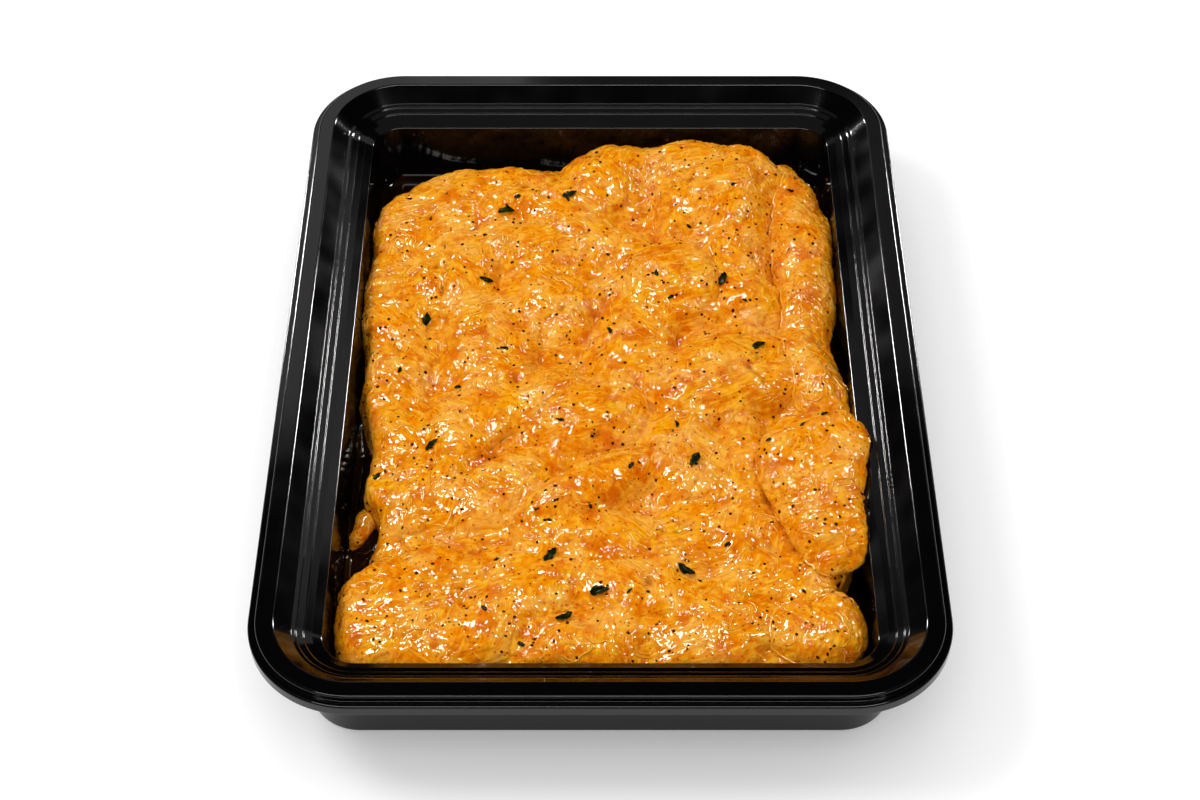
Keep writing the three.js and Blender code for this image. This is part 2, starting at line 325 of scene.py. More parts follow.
@dataclass(frozen=True)
class Lobes:
    """A field of soft lobes that press and fold over each other, each long one way and tipped across it."""

    spacing: float
    height: float
    seed: int
    stretch: float = 1.6
    tilt: float = 1.0
    sharpness: float = 22.0

    def over(self, points: np.ndarray) -> tuple[np.ndarray, np.ndarray]:
        """Works out the lobes at many points.

        Args:
            points: Rows of x, y and z in millimetres.

        Returns:
            The height of each point, about 0 on average, and three random numbers of its lobe.
        """
        scaled = points / self.spacing
        corner = np.floor(scaled)
        nearest = np.full(len(points), np.inf)
        own = np.zeros((len(points), 3))
        weights = np.zeros(len(points))
        heights = np.zeros(len(points))
        for offset in np.ndindex(3, 3, 3):
            cell = corner + np.array(offset) - 1
            away = scaled - cell - Noise.draws(cell, self.seed)
            lobe = Noise.draws(cell, self.seed + 1)
            cos, sin = np.cos(2 * np.pi * lobe[:, 0]), np.sin(2 * np.pi * lobe[:, 0])
            along = (away[:, 0] * cos + away[:, 1] * sin) / self.stretch
            across = away[:, 1] * cos - away[:, 0] * sin
            distance = np.sqrt(along**2 + across**2 + away[:, 2] ** 2)
            weight = np.exp(-self.sharpness * distance)
            weights += weight
            heights += weight * (0.6 - distance**2 + self.tilt * (lobe[:, 1] - 0.5) * across)
            closer = distance < nearest
            nearest[closer] = distance[closer]
            own[closer] = lobe[closer]
        return self.height * heights / weights, own


@dataclass(frozen=True)
class Strands:
    """Fibres that run three ways and bend softly, each way in patches of its own."""

    width: float = 1.1
    height: float = 0.22
    stretch: float = 6.0
    turns: tuple[float, float, float] = (15.0, 70.0, 130.0)
    bend: float = 3.0
    bend_grain: float = 14.0
    patch: float = 15.0
    seed: int = 71

    def over(self, points: np.ndarray) -> np.ndarray:
        """Works out the strands' height at many points.

        Args:
            points: Rows of x, y and z in millimetres.

        Returns:
            One height for each point.
        """
        bent = points + self.bend * Noise.soft(points, self.bend_grain, self.seed)
        chosen = Noise.soft(points, self.patch, self.seed + 1)
        heights, weights = np.zeros(len(points)), np.zeros(len(points))
        for turn, share in zip(np.radians(self.turns), chosen.T):
            along = (bent[:, 0] * np.cos(turn) + bent[:, 1] * np.sin(turn)) / self.stretch
            across = bent[:, 1] * np.cos(turn) - bent[:, 0] * np.sin(turn)
            laid = np.stack([along, across, bent[:, 2]], axis=-1)
            wave = Noise.soft(laid, self.width, self.seed + 2)[:, 0]
            weight = np.exp(7 * share)
            heights += weight * (1 - 2 * np.sqrt(wave**2 + 0.03))
            weights += weight
        return self.height * heights / weights


@dataclass(frozen=True)
class MouldedPolypropylene:
    """Black polypropylene sheet, thermoformed on a polished mould.

    It gives the eye a deep black with crisp reflections that waver a little, as the sheet cools unevenly.
    They are somewhat weaker than the plastic's index alone gives, as on the object.
    """

    name: str = "black_polypropylene_thermoformed"
    colour: str = "#040405"
    roughness: float = 0.09
    ior: float = 1.49
    specular: float = 0.35
    ripple_mm: float = 11.0
    ripple_height_mm: float = 0.4
    ripple_strength: float = 0.05
    grain_mm: float = 0.5
    grain_height_mm: float = 0.04
    grain_strength: float = 0.02

    def build(self) -> bpy.types.Material:
        """Makes the material."""
        material, tree, shader, place = new_material(self.name)
        ripple = noise(tree, place, self.ripple_mm, 1.0)
        inputs = {
            "Value": ripple,
            "From Min": 0.3,
            "From Max": 0.7,
            "To Min": self.roughness * 0.7,
            "To Max": self.roughness * 1.4,
        }
        sheen = add_node(tree, "ShaderNodeMapRange", inputs)
        inputs = {
            "Height": ripple,
            "Strength": self.ripple_strength,
            "Distance": self.ripple_height_mm * MM,
        }
        wave = add_node(tree, "ShaderNodeBump", inputs)
        inputs = {
            "Height": noise(tree, place, self.grain_mm),
            "Strength": self.grain_strength,
            "Distance": self.grain_height_mm * MM,
            "Normal": wave.outputs["Normal"],
        }
        fine = add_node(tree, "ShaderNodeBump", inputs)
        shader.inputs["Base Color"].default_value = linear(self.colour)
        shader.inputs["IOR"].default_value = self.ior
        shader.inputs["Specular IOR Level"].default_value = self.specular
        tree.links.new(sheen.outputs["Result"], shader.inputs["Roughness"])
        tree.links.new(fine.outputs["Normal"], shader.inputs["Normal"])
        return material


@dataclass(frozen=True)
class MarinatedFlesh:
    """Raw chicken thigh and breast, tumbled in an oily orange marinade.

    It gives the eye golden flesh with cream and yellow strands under a wet orange coat, speckled with red
    spice, with painted shade darkening the creases and painted light on the ridges. Thin rills and beads of
    the liquid catch the light.
    """

    name: str = "raw_chicken_marinated"
    patch_mm: float = 7.0
    mottle_mm: float = 2.0
    stain_mm: float = 5.0
    fibre_mm: float = 0.6
    fibre_stretch: float = 7.0
    fibre_turns: tuple[float, float, float] = (20.0, 75.0, 140.0)
    lump_mm: float = 1.5
    bead_mm: float = 2.3
    bead_height_mm: float = 1.15
    calm_mm: float = 6.5
    spice_mm: float = 1.5
    roughness: float = 0.5
    coat_roughness: float = 0.06

    def build(self) -> bpy.types.Material:
        """Makes the material."""
        material, tree, shader, place = new_material(self.name)
        bent = self.wavering(tree, place, 4.0, 2.5)
        fibre = self.fibres(tree, self.wavering(tree, place, 14.0, 5.0))
        # The flesh itself is dull: all of the gloss comes from the wet coat.
        shader.inputs["Roughness"].default_value = self.roughness
        shader.inputs["IOR"].default_value = 1.38
        shader.inputs["Specular IOR Level"].default_value = 0.0
        shader.inputs["Subsurface Weight"].default_value = 0.2
        shader.inputs["Subsurface Radius"].default_value = (1.0, 0.4, 0.12)
        shader.inputs["Subsurface Scale"].default_value = 1.1 * MM
        shader.inputs["Coat Weight"].default_value = 1.0
        shader.inputs["Coat Roughness"].default_value = self.coat_roughness
        shader.inputs["Coat IOR"].default_value = 1.36
        tree.links.new(self.colour(tree, place, bent, fibre), shader.inputs["Base Color"])
        flesh, wet = self.relief(tree, bent, fibre)
        tree.links.new(flesh, shader.inputs["Normal"])
        tree.links.new(wet, shader.inputs["Coat Normal"])
        return material

    @staticmethod
    def spread(
        tree: Tree, value: Socket, low: float, high: float, least: float = 0.0, most: float = 1.0
    ) -> Socket:
        """Adds a soft step: it gives least where the value is low, and most where it is high."""
        inputs = {"Value": value, "From Min": low, "From Max": high, "To Min": least, "To Max": most}
        return add_node(tree, "ShaderNodeMapRange", inputs, interpolation_type="SMOOTHSTEP").outputs["Result"]

    @staticmethod
    def wavering(tree: Tree, place: Socket, grain_mm: float, reach_mm: float) -> Socket:
        """Bends coordinates with a soft noise.

        Args:
            tree: The material's tree.
            place: The coordinates.
            grain_mm: The size of the bends.
            reach_mm: How far they go.

        Returns:
            The bent coordinates.
        """
        inputs = {"Vector": place, "Scale": 1 / (grain_mm * MM), "Detail": 2.0}
        bends = add_node(tree, "ShaderNodeTexNoise", inputs).outputs["Color"]
        reach = (reach_mm * MM,) * 3
        inputs = {0: bends, 1: reach, 2: place}
        return add_node(tree, "ShaderNodeVectorMath", inputs, operation="MULTIPLY_ADD").outputs["Vector"]

    def fibres(self, tree: Tree, bent: Socket) -> Socket:
        """Adds strands that run three ways, each in patches of its own.

        Args:
            tree: The material's tree.
            bent: Softly bent coordinates.

        Returns:
            A value from 0 to 1, high on a strand.
        """
        chooser = noise(tree, bent, 15.0, 0.0)
        result = None
        for turn, border in zip(self.fibre_turns, (None, 0.45, 0.55)):
            inputs = {
                "Vector": bent,
                "Rotation": (0.0, 0.0, math.radians(turn)),
                "Scale": (self.fibre_stretch, 1.0, 1.0),
            }
            laid = add_node(tree, "ShaderNodeMapping", inputs, vector_type="TEXTURE").outputs["Vector"]
            strand = noise(tree, laid, self.fibre_mm, 1.0)
            if border is None:
                result = strand
                continue
            share = self.spread(tree, chooser, border - 0.03, border + 0.03)
            inputs = {0: share, 2: result, 3: strand}
            result = add_node(tree, "ShaderNodeMix", inputs, data_type="FLOAT").outputs[0]
        return result

    @staticmethod
    def ramp(tree: Tree, factor: Socket, stops: tuple[tuple[float, str], ...]) -> Socket:
        """Adds a colour ramp.

        Args:
            tree: The material's tree.
            factor: What drives it.
            stops: Places from 0 to 1 with their hex colours, in order.

        Returns:
            Its colour.
        """
        node = add_node(tree, "ShaderNodeValToRGB", {"Fac": factor})
        elements = node.color_ramp.elements
        while len(elements) < len(stops):
            elements.new(0.5)
        for element, (position, hex_colour) in zip(elements, stops):
            element.position = position
            element.color = linear(hex_colour)
        return node.outputs["Color"]

    @staticmethod
    def mixed(tree: Tree, share: Socket | float, under: Socket, over: Socket | str) -> Socket:
        """Mixes a colour over another.

        Args:
            tree: The material's tree.
            share: How much of the upper colour shows.
            under: The lower colour.
            over: The upper colour, or its hex value.

        Returns:
            The mixed colour.
        """
        upper = linear(over) if isinstance(over, str) else over
        inputs = {"Factor": share, 6: under, 7: upper}
        return add_node(tree, "ShaderNodeMix", inputs, data_type="RGBA").outputs[2]

    def colour(self, tree: Tree, place: Socket, bent: Socket, fibre: Socket) -> Socket:
        """Paints the flesh, its strands and the spice on it, with painted shade in the creases and painted
        light on the ridges.

        Args:
            tree: The material's tree.
            place: The piece's own coordinates.
            bent: The same, wavering.
            fibre: The strands.

        Returns:
            The surface's colour.
        """
        lobe = add_node(tree, "ShaderNodeAttribute", attribute_name="lobe").outputs["Fac"]
        # Painted shade and light: how hollow the relief lies, high in the creases and low on the ridges.
        depth = add_node(tree, "ShaderNodeAttribute", attribute_name="painted_relief_shade").outputs["Fac"]
        stops = ((0.1, "#e67c00"), (0.35, "#e98a04"), (0.6, "#ea9412"), (0.8, "#ec9a2c"), (0.95, "#f4aa04"))
        tissue = self.ramp(tree, lobe, stops)
        mottle = noise(tree, bent, self.mottle_mm, 4.0)
        stops = ((0.3, "#c65000"), (0.44, "#e67c00"), (0.56, "#f09c08"), (0.7, "#f9be40"))
        veil = self.ramp(tree, mottle, stops)
        flesh = self.mixed(tree, 0.55, tissue, veil)
        cream = self.spread(tree, noise(tree, bent, self.patch_mm), 0.5, 0.64, most=0.6)
        flesh = self.mixed(tree, cream, flesh, "#f2b048")
        flesh = self.mixed(tree, self.spread(tree, fibre, 0.54, 0.68, most=0.55), flesh, "#fabe34")
        flesh = self.mixed(tree, self.spread(tree, fibre, 0.46, 0.32, most=0.45), flesh, "#d46c00")
        stain = noise(tree, bent, self.stain_mm, 5.0)
        flesh = self.mixed(tree, self.spread(tree, stain, 0.54, 0.66, most=0.65), flesh, "#d45800")
        # Painted shade darkens the creases and painted light pales the ridges, both read from how hollow the
        # relief lies.
        flesh = self.mixed(tree, self.spread(tree, depth, 0.55, 0.95, most=0.8), flesh, "#9c4200")
        flesh = self.mixed(tree, self.spread(tree, depth, 0.42, 0.1, most=0.4), flesh, "#f8b438")
        inputs = {"Vector": place, "Scale": 1 / (self.spice_mm * MM), "Randomness": 1.0}
        dots = add_node(tree, "ShaderNodeTexVoronoi", inputs).outputs["Distance"]
        return self.mixed(tree, self.spread(tree, dots, 0.24, 0.12, most=0.75), flesh, "#c04400")

    def relief(self, tree: Tree, bent: Socket, fibre: Socket) -> tuple[Socket, Socket]:
        """Gives the flesh its strands and lumps, and the wet coat the rills and beads that catch the light.

        The beads stand high in patches, with calmer skin between them.

        Args:
            tree: The material's tree.
            bent: The piece's own coordinates, wavering.
            fibre: The strands.

        Returns:
            The normals of the flesh and of the wet coat.
        """
        lumps = noise(tree, bent, self.lump_mm)
        inputs = {0: fibre, 1: 0.7, 2: lumps}
        height = add_node(tree, "ShaderNodeMath", inputs, operation="MULTIPLY_ADD").outputs[0]
        flesh = add_node(tree, "ShaderNodeBump", {"Height": height, "Strength": 1.0, "Distance": 0.35 * MM})
        beads = noise(tree, bent, self.bead_mm, 1.0)
        apart = add_node(tree, "ShaderNodeMath", {0: beads, 1: 0.5}, operation="SUBTRACT").outputs[0]
        crests = add_node(tree, "ShaderNodeMath", {0: apart}, operation="ABSOLUTE").outputs[0]
        rough = self.spread(tree, noise(tree, bent, self.calm_mm, 1.0), 0.44, 0.6, least=0.3)
        beaded = add_node(tree, "ShaderNodeMath", {0: crests, 1: rough}, operation="MULTIPLY").outputs[0]
        inputs = {"Height": beaded, "Strength": 1.0, "Distance": self.bead_height_mm * MM}
        wet = add_node(tree, "ShaderNodeBump", inputs)
        return flesh.outputs["Normal"], wet.outputs["Normal"]


@dataclass(frozen=True)
class DriedSeasoning:
    """A dried, ground or rubbed seasoning that lies wet on the meat: dull colour under a thin gloss."""

    name: str
    dark: str
    light: str
    grain_mm: float
    roughness: float = 0.45
    coat: float = 0.5

    def build(self) -> bpy.types.Material:
        """Makes the material."""
        material, tree, shader, place = new_material(self.name)
        grain = noise(tree, place, self.grain_mm, 3.0)
        bump = add_node(tree, "ShaderNodeBump", {"Height": grain, "Strength": 0.4, "Distance": 0.1 * MM})
        shader.inputs["Roughness"].default_value = self.roughness
        shader.inputs["Specular IOR Level"].default_value = 0.0
        shader.inputs["Coat Weight"].default_value = self.coat
        shader.inputs["Coat Roughness"].default_value = 0.12
        blend = two_tone(tree, grain, (0.35, 0.65), (self.dark, self.light))
        tree.links.new(blend, shader.inputs["Base Color"])
        tree.links.new(bump.outputs["Normal"], shader.inputs["Normal"])
        return material


@dataclass(frozen=True)
class ThinMarinade:
    """The oily liquid that runs off the meat: a thin brown film on black plastic, dark and very glossy."""

    name: str = "thin_oily_marinade"
    thin: str = "#0b0602"
    thick: str = "#2b1405"
    streak_mm: float = 6.0
    roughness: float = 0.05

    def build(self) -> bpy.types.Material:
        """Makes the material."""
        material, tree, shader, place = new_material(self.name)
        streak = noise(tree, place, self.streak_mm, 3.0)
        bump = add_node(tree, "ShaderNodeBump", {"Height": streak, "Strength": 0.2, "Distance": 0.4 * MM})
        shader.inputs["Roughness"].default_value = self.roughness
        shader.inputs["IOR"].default_value = 1.45
        blend = two_tone(tree, streak, (0.4, 0.7), (self.thin, self.thick))
        tree.links.new(blend, shader.inputs["Base Color"])
        tree.links.new(bump.outputs["Normal"], shader.inputs["Normal"])
        return material


@dataclass(frozen=True)
class GatheredMarinade:
    """Orange marinade gathered in thin raised rills and drops: smooth, wet and a little see-through."""

    name: str = "gathered_marinade"
    colour: str = "#f4ae34"
    shade: str = "#ea8c10"
    grain_mm: float = 3.0
    roughness: float = 0.06

    def build(self) -> bpy.types.Material:
        """Makes the material."""
        material, tree, shader, place = new_material(self.name)
        cloud = noise(tree, place, self.grain_mm)
        shader.inputs["Roughness"].default_value = self.roughness
        shader.inputs["IOR"].default_value = 1.46
        blend = two_tone(tree, cloud, (0.35, 0.65), (self.colour, self.shade))
        tree.links.new(blend, shader.inputs["Base Color"])
        return material


@dataclass(frozen=True)
class SeamlessPaper:
    """Matt white background paper, lit a little from behind: an even, pale ground with light shadows."""

    name: str = "white_seamless_paper"
    colour: str = "#f7f7f7"
    glow: float = 0.16

    def build(self) -> bpy.types.Material:
        """Makes the material."""
        material = bpy.data.materials.new(self.name)
        material.use_nodes = True
        shader = material.node_tree.nodes["Principled BSDF"]
        shader.inputs["Base Color"].default_value = linear(self.colour)
        shader.inputs["Roughness"].default_value = 0.9
        shader.inputs["Specular IOR Level"].default_value = 0.1
        shader.inputs["Emission Color"].default_value = linear(self.colour)
        shader.inputs["Emission Strength"].default_value = self.glow
        return material


@dataclass
class Tray:
    """The moulded tray: a flat flange with a stepped lip, fine beads, a ledge, double walls and a floor.

    An inset is measured inwards from the flange's outer edge, a depth downwards from its top, in millimetres.
    """

    width: float = 134.0
    length: float = 184.0
    height: float = 24.2
    corner: float = 19.5
    corner_steps: int = 28
    fillet_steps: int = 4
    fillet_share: float = 0.45
    flat_hold: float = 1.08
    shelf: float = 0.9
    shelf_from: tuple[float, float] = (12.4, 0.25)
    inside: tuple[tuple[float, float, float], ...] = (
        (13.55, 22.5, 1.5),
        (12.5, 6.4, 0.3),
        (10.6, 5.3, 0.35),
        (9.2, 4.75, 0.2),
        (8.95, 4.5, 0.15),
        (7.75, 4.0, 0.2),
        (7.5, 3.75, 0.15),
        (6.8, 3.4, 0.2),
        (6.55, 3.15, 0.15),
        (3.55, 0.0, 0.5),
    )
    outside: tuple[tuple[float, float, float], ...] = (
        (0.0, 0.0, 0.45),
        (0.0, 1.35, 0.15),
        (-1.5, 1.35, 0.45),
        (-1.5, 3.8, 0.2),
        (-0.6, 3.8, 0.2),
        (-0.6, 2.25, 0.1),
        (0.9, 2.25, 0.1),
        (0.95, 0.9, 0.1),
        (3.25, 0.9, 0.3),
        (7.6, 5.25, 0.8),
        (8.8, 24.2, 0.8),
        (9.97, 24.2, 0.3),
        (9.97, 9.0, 0.3),
        (11.6, 9.0, 0.3),
        (12.6, 24.2, 0.3),
    )

    def rounded(self, outline: list[tuple[float, float, float]]) -> list[tuple[float, float]]:
        """Rounds the corners of an open outline with arcs, and holds the flats beside them.

        Args:
            outline: Inset, depth and fillet radius of each corner. The two ends stay sharp.

        Returns:
            Insets and depths of the rounded outline.
        """
        path = [outline[0][:2]]
        for (ax, ay, _), (bx, by, radius), (cx, cy, _) in zip(outline, outline[1:], outline[2:]):
            before, corner, after = Vector((ax, ay)), Vector((bx, by)), Vector((cx, cy))
            start, end = (before - corner), (after - corner)
            half = start.angle(end) / 2
            reach = min(radius / math.tan(half), self.fillet_share * min(start.length, end.length))
            arc_radius = reach * math.tan(half)
            start.normalize()
            end.normalize()
            centre = corner + (start + end).normalized() * (arc_radius / math.sin(half))
            first = corner + start * reach - centre
            last = corner + end * reach - centre
            path.append(tuple(corner + start * reach * self.flat_hold))
            for step in range(self.fillet_steps + 1):
                spoke = first.lerp(last, step / self.fillet_steps).normalized() * arc_radius
                path.append(tuple(centre + spoke))
            path.append(tuple(corner + end * reach * self.flat_hold))
        path.append(outline[-1][:2])
        return path

    def ring(self, inset: float, depth: float) -> list[Vector]:
        """Lays one contour: a rounded rectangle, whose corners are cut flat on the inner wall.

        Args:
            inset: The contour's inset.
            depth: Its depth.

        Returns:
            Its points in metres.
        """
        radius = self.corner - inset
        on_wall = inset > self.shelf_from[0] and depth > self.inside[1][1] + self.shelf_from[1]
        reach = radius - self.shelf if on_wall else radius
        points = []
        for quarter, (sx, sy) in enumerate(((1, 1), (-1, 1), (-1, -1), (1, -1))):
            middle = (quarter + 0.5) * math.pi / 2
            along = Vector((math.cos(middle), math.sin(middle)))
            beside = Vector((-along.y, along.x))
            centre = Vector((sx * (self.width / 2 - self.corner), sy * (self.length / 2 - self.corner)))
            for step in range(self.corner_steps + 1):
                angle = (step / self.corner_steps - 0.5) * math.pi / 2
                out = min(radius * math.cos(angle), reach)
                flat = centre + along * out + beside * radius * math.sin(angle)
                points.append(Vector((flat.x, flat.y, self.height - depth)) * MM)
        return points

    def mesh(self) -> bpy.types.Mesh:
        """Lofts the closed shell through all contours."""
        floor_middle = (self.corner - 1.0, self.inside[0][1], 0.0)
        path = self.rounded([floor_middle, *self.inside, *self.outside])
        built = bmesh.new()
        loops = [[built.verts.new(point) for point in self.ring(*place)] for place in path]
        for lower, upper in zip(loops, loops[1:]):
            for i in range(len(lower)):
                j = (i + 1) % len(lower)
                built.faces.new((lower[i], lower[j], upper[j], upper[i]))
        for loop in (loops[0], loops[-1]):
            built.faces.new(loop)
        bmesh.ops.remove_doubles(built, verts=built.verts, dist=0.002 * MM)
        bmesh.ops.recalc_face_normals(built, faces=built.faces)
        return finished_mesh("moulded_tray", built)

    def build(self) -> bpy.types.Object:
        """Makes the tray and ties it in for its solid."""
        tray = new_object("moulded_tray", self.mesh())
        tie(tray, MouldedPolypropylene().build(), ("tray",))
        return tray

    def clearance(self, points: np.ndarray) -> np.ndarray:
        """Gives the level distance from points to the tray's inner surface, more than 0 inside.

        Args:
            points: Rows of x, y and z in millimetres.

        Returns:
            One distance in millimetres for each point.
        """
        heights = [self.height - depth for _, depth, _ in self.inside]
        inset = np.interp(points[:, 2], heights, [inset for inset, _, _ in self.inside])
        across = np.abs(points[:, 0]) - (self.width / 2 - self.corner)
        along = np.abs(points[:, 1]) - (self.length / 2 - self.corner)
        beyond = np.hypot(np.maximum(across, 0), np.maximum(along, 0))
        return self.corner - inset - beyond - np.minimum(np.maximum(across, along), 0)


@dataclass(frozen=True)
class Surface:
    """A mesh with its neighbouring pairs of points, its points in millimetres and their normals."""

    mesh: bpy.types.Mesh
    edges: np.ndarray
    points: np.ndarray
    normals: np.ndarray


@dataclass
class Chicken:
    """The pieces of meat: each is refined from its own solid, with lobes, folds and fibres in its surface."""

    names: tuple[str, ...] = (
        "chicken_mass",
        "chicken_back_strip",
        "chicken_side_strip",
        "chicken_flap",
        "chicken_fillet_tip",
        "chicken_sliver",
        "chicken_scrap",
    )
    fine_mm: float = 0.55
    finest_mm: float = 0.35
    large_mm: float = 70.0
    swell_mm: float = 0.18
    waver_mm: float = 1.5
    waver_grain_mm: float = 10.0
    bends: tuple[tuple[float, float, int], ...] = ((2.4, 8.0, 3), (0.9, 3.0, 5))
    wall_gap_mm: float = 0.1
    flatten_passes: int = 14
    broad_passes: int = 26
    narrow_passes: int = 5
    side_relief: float = 0.12
    foot_mm: float = 3.0
    lobes: tuple[Lobes, ...] = (
        Lobes(spacing=12.0, height=1.5, seed=11, stretch=1.8, tilt=1.7),
        Lobes(spacing=5.0, height=0.75, seed=23, stretch=1.7, tilt=1.4),
        Lobes(spacing=2.4, height=0.42, seed=37, stretch=1.5, tilt=1.2),
        Lobes(spacing=1.3, height=0.2, seed=43, stretch=1.4, tilt=0.6),
    )
    strands: Strands = Strands()
    grown_mm: float = 5.0
    grown_share: float = 0.13
    pieces: list[bpy.types.Object] = field(default_factory=list)

    def refined(self, name: str) -> bpy.types.Mesh:
        """Copies a solid's mesh, joins its loose triangles and remeshes it evenly.

        Args:
            name: The solid's node.

        Returns:
            The fine mesh.
        """
        source = frame["nodes"][name].data.copy()
        merged = bmesh.new()
        merged.from_mesh(source)
        bmesh.ops.remove_doubles(merged, verts=merged.verts, dist=0.002 * MM)
        merged.to_mesh(source)
        merged.free()
        thing = new_object(name + "_work", source)
        remesh = thing.modifiers.new("even", "REMESH")
        remesh.mode = "VOXEL"
        low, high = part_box(name)
        remesh.voxel_size = (self.fine_mm if (high - low).y > self.large_mm * MM else self.finest_mm) * MM
        bake_modifiers(thing)
        mesh = thing.data
        bpy.data.objects.remove(thing)
        return mesh

    @staticmethod
    def relaxed(points: np.ndarray, edges: np.ndarray, passes: int) -> np.ndarray:
        """Evens out points by moving each to the middle of its neighbours, and back a little each time.

        Args:
            points: Rows of x, y and z.
            edges: Pairs of neighbours.
            passes: How often it is done.

        Returns:
            The moved points.
        """
        count = np.bincount(edges.ravel(), minlength=len(points))[:, None]
        for _ in range(passes):
            for share in (0.6, -0.3):
                total = np.zeros_like(points)
                for axis in range(3):
                    total[:, axis] = np.bincount(edges[:, 0], points[edges[:, 1], axis], len(points))
                    total[:, axis] += np.bincount(edges[:, 1], points[edges[:, 0], axis], len(points))
                points = points + share * (total / count - points)
        return points

    @staticmethod
    def averaged(values: np.ndarray, edges: np.ndarray, passes: int) -> np.ndarray:
        """Blurs one value for each point over its neighbours."""
        count = np.bincount(edges.ravel(), minlength=len(values))
        for _ in range(passes):
            total = np.bincount(edges[:, 0], values[edges[:, 1]], len(values))
            total += np.bincount(edges[:, 1], values[edges[:, 0]], len(values))
            values = 0.4 * values + 0.6 * total / count
        return values

    def relief(self, points: np.ndarray) -> tuple[np.ndarray, np.ndarray]:
        """Works out how far the surface stands out, in millimetres, and each point's tissue.

        Args:
            points: Rows of x, y and z in millimetres.

        Returns:
            The heights, and a number from 0 to 1 that tells the middle-sized lobes apart.
        """
        bent = points
        for reach, grain, seed in self.bends:
            bent = bent + reach * Noise.soft(points, grain, seed)
        layers = [lobes.over(bent) for lobes in self.lobes]
        height = sum(layer for layer, _ in layers) + self.strands.over(points)
        return height, layers[1][1][:, 2]

    def even(self, name: str) -> Surface:
        """Refines one piece and evens it out.

        Args:
            name: The solid's node.

        Returns:
            The mesh with its edges, points and normals.
        """
        mesh = self.refined(name)
        edges = edge_pairs(mesh)
        points = self.relaxed(rows(mesh.vertices, "co") / MM, edges, self.flatten_passes)
        mesh.vertices.foreach_set("co", (points * MM).ravel())
        mesh.update()
        return Surface(mesh, edges, points, rows(mesh.vertex_normals, "vector"))

    def grown(self, own: Surface, others: list[Surface]) -> np.ndarray:
        """Works out how far a piece swells towards its neighbours, so that they grow together softly.

        Args:
            own: The piece's surface.
            others: Its neighbours' surfaces.

        Returns:
            One distance in millimetres for each point.
        """
        swell = np.zeros(len(own.points))
        for other in others:
            low, high = other.points.min(axis=0) - self.grown_mm, other.points.max(axis=0) + self.grown_mm
            close = np.all((own.points > low) & (own.points < high), axis=1)
            faces = skin(other.mesh)
            for i in np.flatnonzero(close):
                away = faces.find_nearest(Vector(own.points[i]) * MM, self.grown_mm * MM)[3]
                if away is not None:
                    swell[i] = max(swell[i], (self.grown_mm - away / MM) ** 2 / (4 * self.grown_mm))
        size = own.points.max(axis=0) - own.points.min(axis=0)
        return np.minimum(swell, self.grown_share * size.min())

    def shape(self, own: Surface, grown: np.ndarray, tray: Tray) -> bpy.types.Mesh:
        """Gives one piece its relief and the attributes that colour it.

        Args:
            own: The piece's even surface.
            grown: How far each point swells towards the piece's neighbours.
            tray: The tray, which the piece stays clear of.

        Returns:
            The finished mesh.
        """
        mesh, edges, even, normals = own.mesh, own.edges, own.points, own.normals
        height, tissue = self.relief(even)
        upward = np.clip((normals[:, 2] + 0.25) / 0.6, self.side_relief, 1)
        low, high = even[:, 2].min(), even[:, 2].max()
        above = np.clip((even[:, 2] - low - 0.3) / min(self.foot_mm, 0.4 * (high - low)), 0, 1)
        height = height * upward * above
        swell = self.swell_mm + grown * upward
        moved = even + normals * (height + swell * above)[:, None]
        waver = self.waver_mm * Noise.soft(even, self.waver_grain_mm, 61) * above[:, None]
        moved[:, :2] += waver[:, :2]
        moved = self.kept_clear(moved, tray)
        mesh.vertices.foreach_set("co", (moved * MM).ravel())
        # How hollow each point lies: the flesh colour paints shade from it in the creases and light on the
        # ridges.
        broad = self.averaged(height, edges, self.broad_passes)
        narrow = self.averaged(height, edges, self.narrow_passes)
        painted_relief_shade = np.clip(0.45 + 0.55 * (broad - height) + 0.9 * (narrow - height), 0, 1)
        painted = {"painted_relief_shade": self.averaged(painted_relief_shade, edges, 1), "lobe": self.averaged(tissue, edges, 2)}
        for label, values in painted.items():
            layer = mesh.attributes.new(label, "FLOAT", "POINT")
            layer.data.foreach_set("value", values.astype(np.float32))
        self.close_underside(mesh)
        shade_smooth(mesh)
        return mesh

    def kept_clear(self, points: np.ndarray, tray: Tray) -> np.ndarray:
        """Moves points that would reach the tray's wall back inside, towards the middle.

        Args:
            points: Rows of x, y and z in millimetres.
            tray: The tray.

        Returns:
            The points, all clear of the wall.
        """
        over = np.maximum(self.wall_gap_mm - tray.clearance(points), 0)
        level = points[:, :2] * np.array([1, tray.width / tray.length])
        inwards = level / np.maximum(np.linalg.norm(level, axis=1, keepdims=True), 1)
        side = np.abs(points[:, 0]) / tray.width > np.abs(points[:, 1]) / tray.length
        inwards = np.where(side[:, None], inwards * np.array([1, 0.2]), inwards * np.array([0.2, 1]))
        points[:, :2] -= 1.2 * over[:, None] * inwards
        return points

    @staticmethod
    def close_underside(mesh: bpy.types.Mesh) -> None:
        """Turns the flat underside, which lies on the tray's floor, into one face."""
        built = bmesh.new()
        built.from_mesh(mesh)
        level = min(vertex.co.z for vertex in built.verts) + 0.25 * MM
        low = [face for face in built.faces if all(vertex.co.z < level for vertex in face.verts)]
        flat = [face for face in low if face.normal.z < -0.9]
        if len(flat) > 200:
            bmesh.ops.delete(built, geom=flat, context="FACES")
            rim = [edge for edge in built.edges if edge.is_boundary]
            bmesh.ops.holes_fill(built, edges=rim, sides=0)
            bmesh.ops.triangulate(built, faces=[face for face in built.faces if len(face.verts) > 4])
        built.to_mesh(mesh)
        built.free()

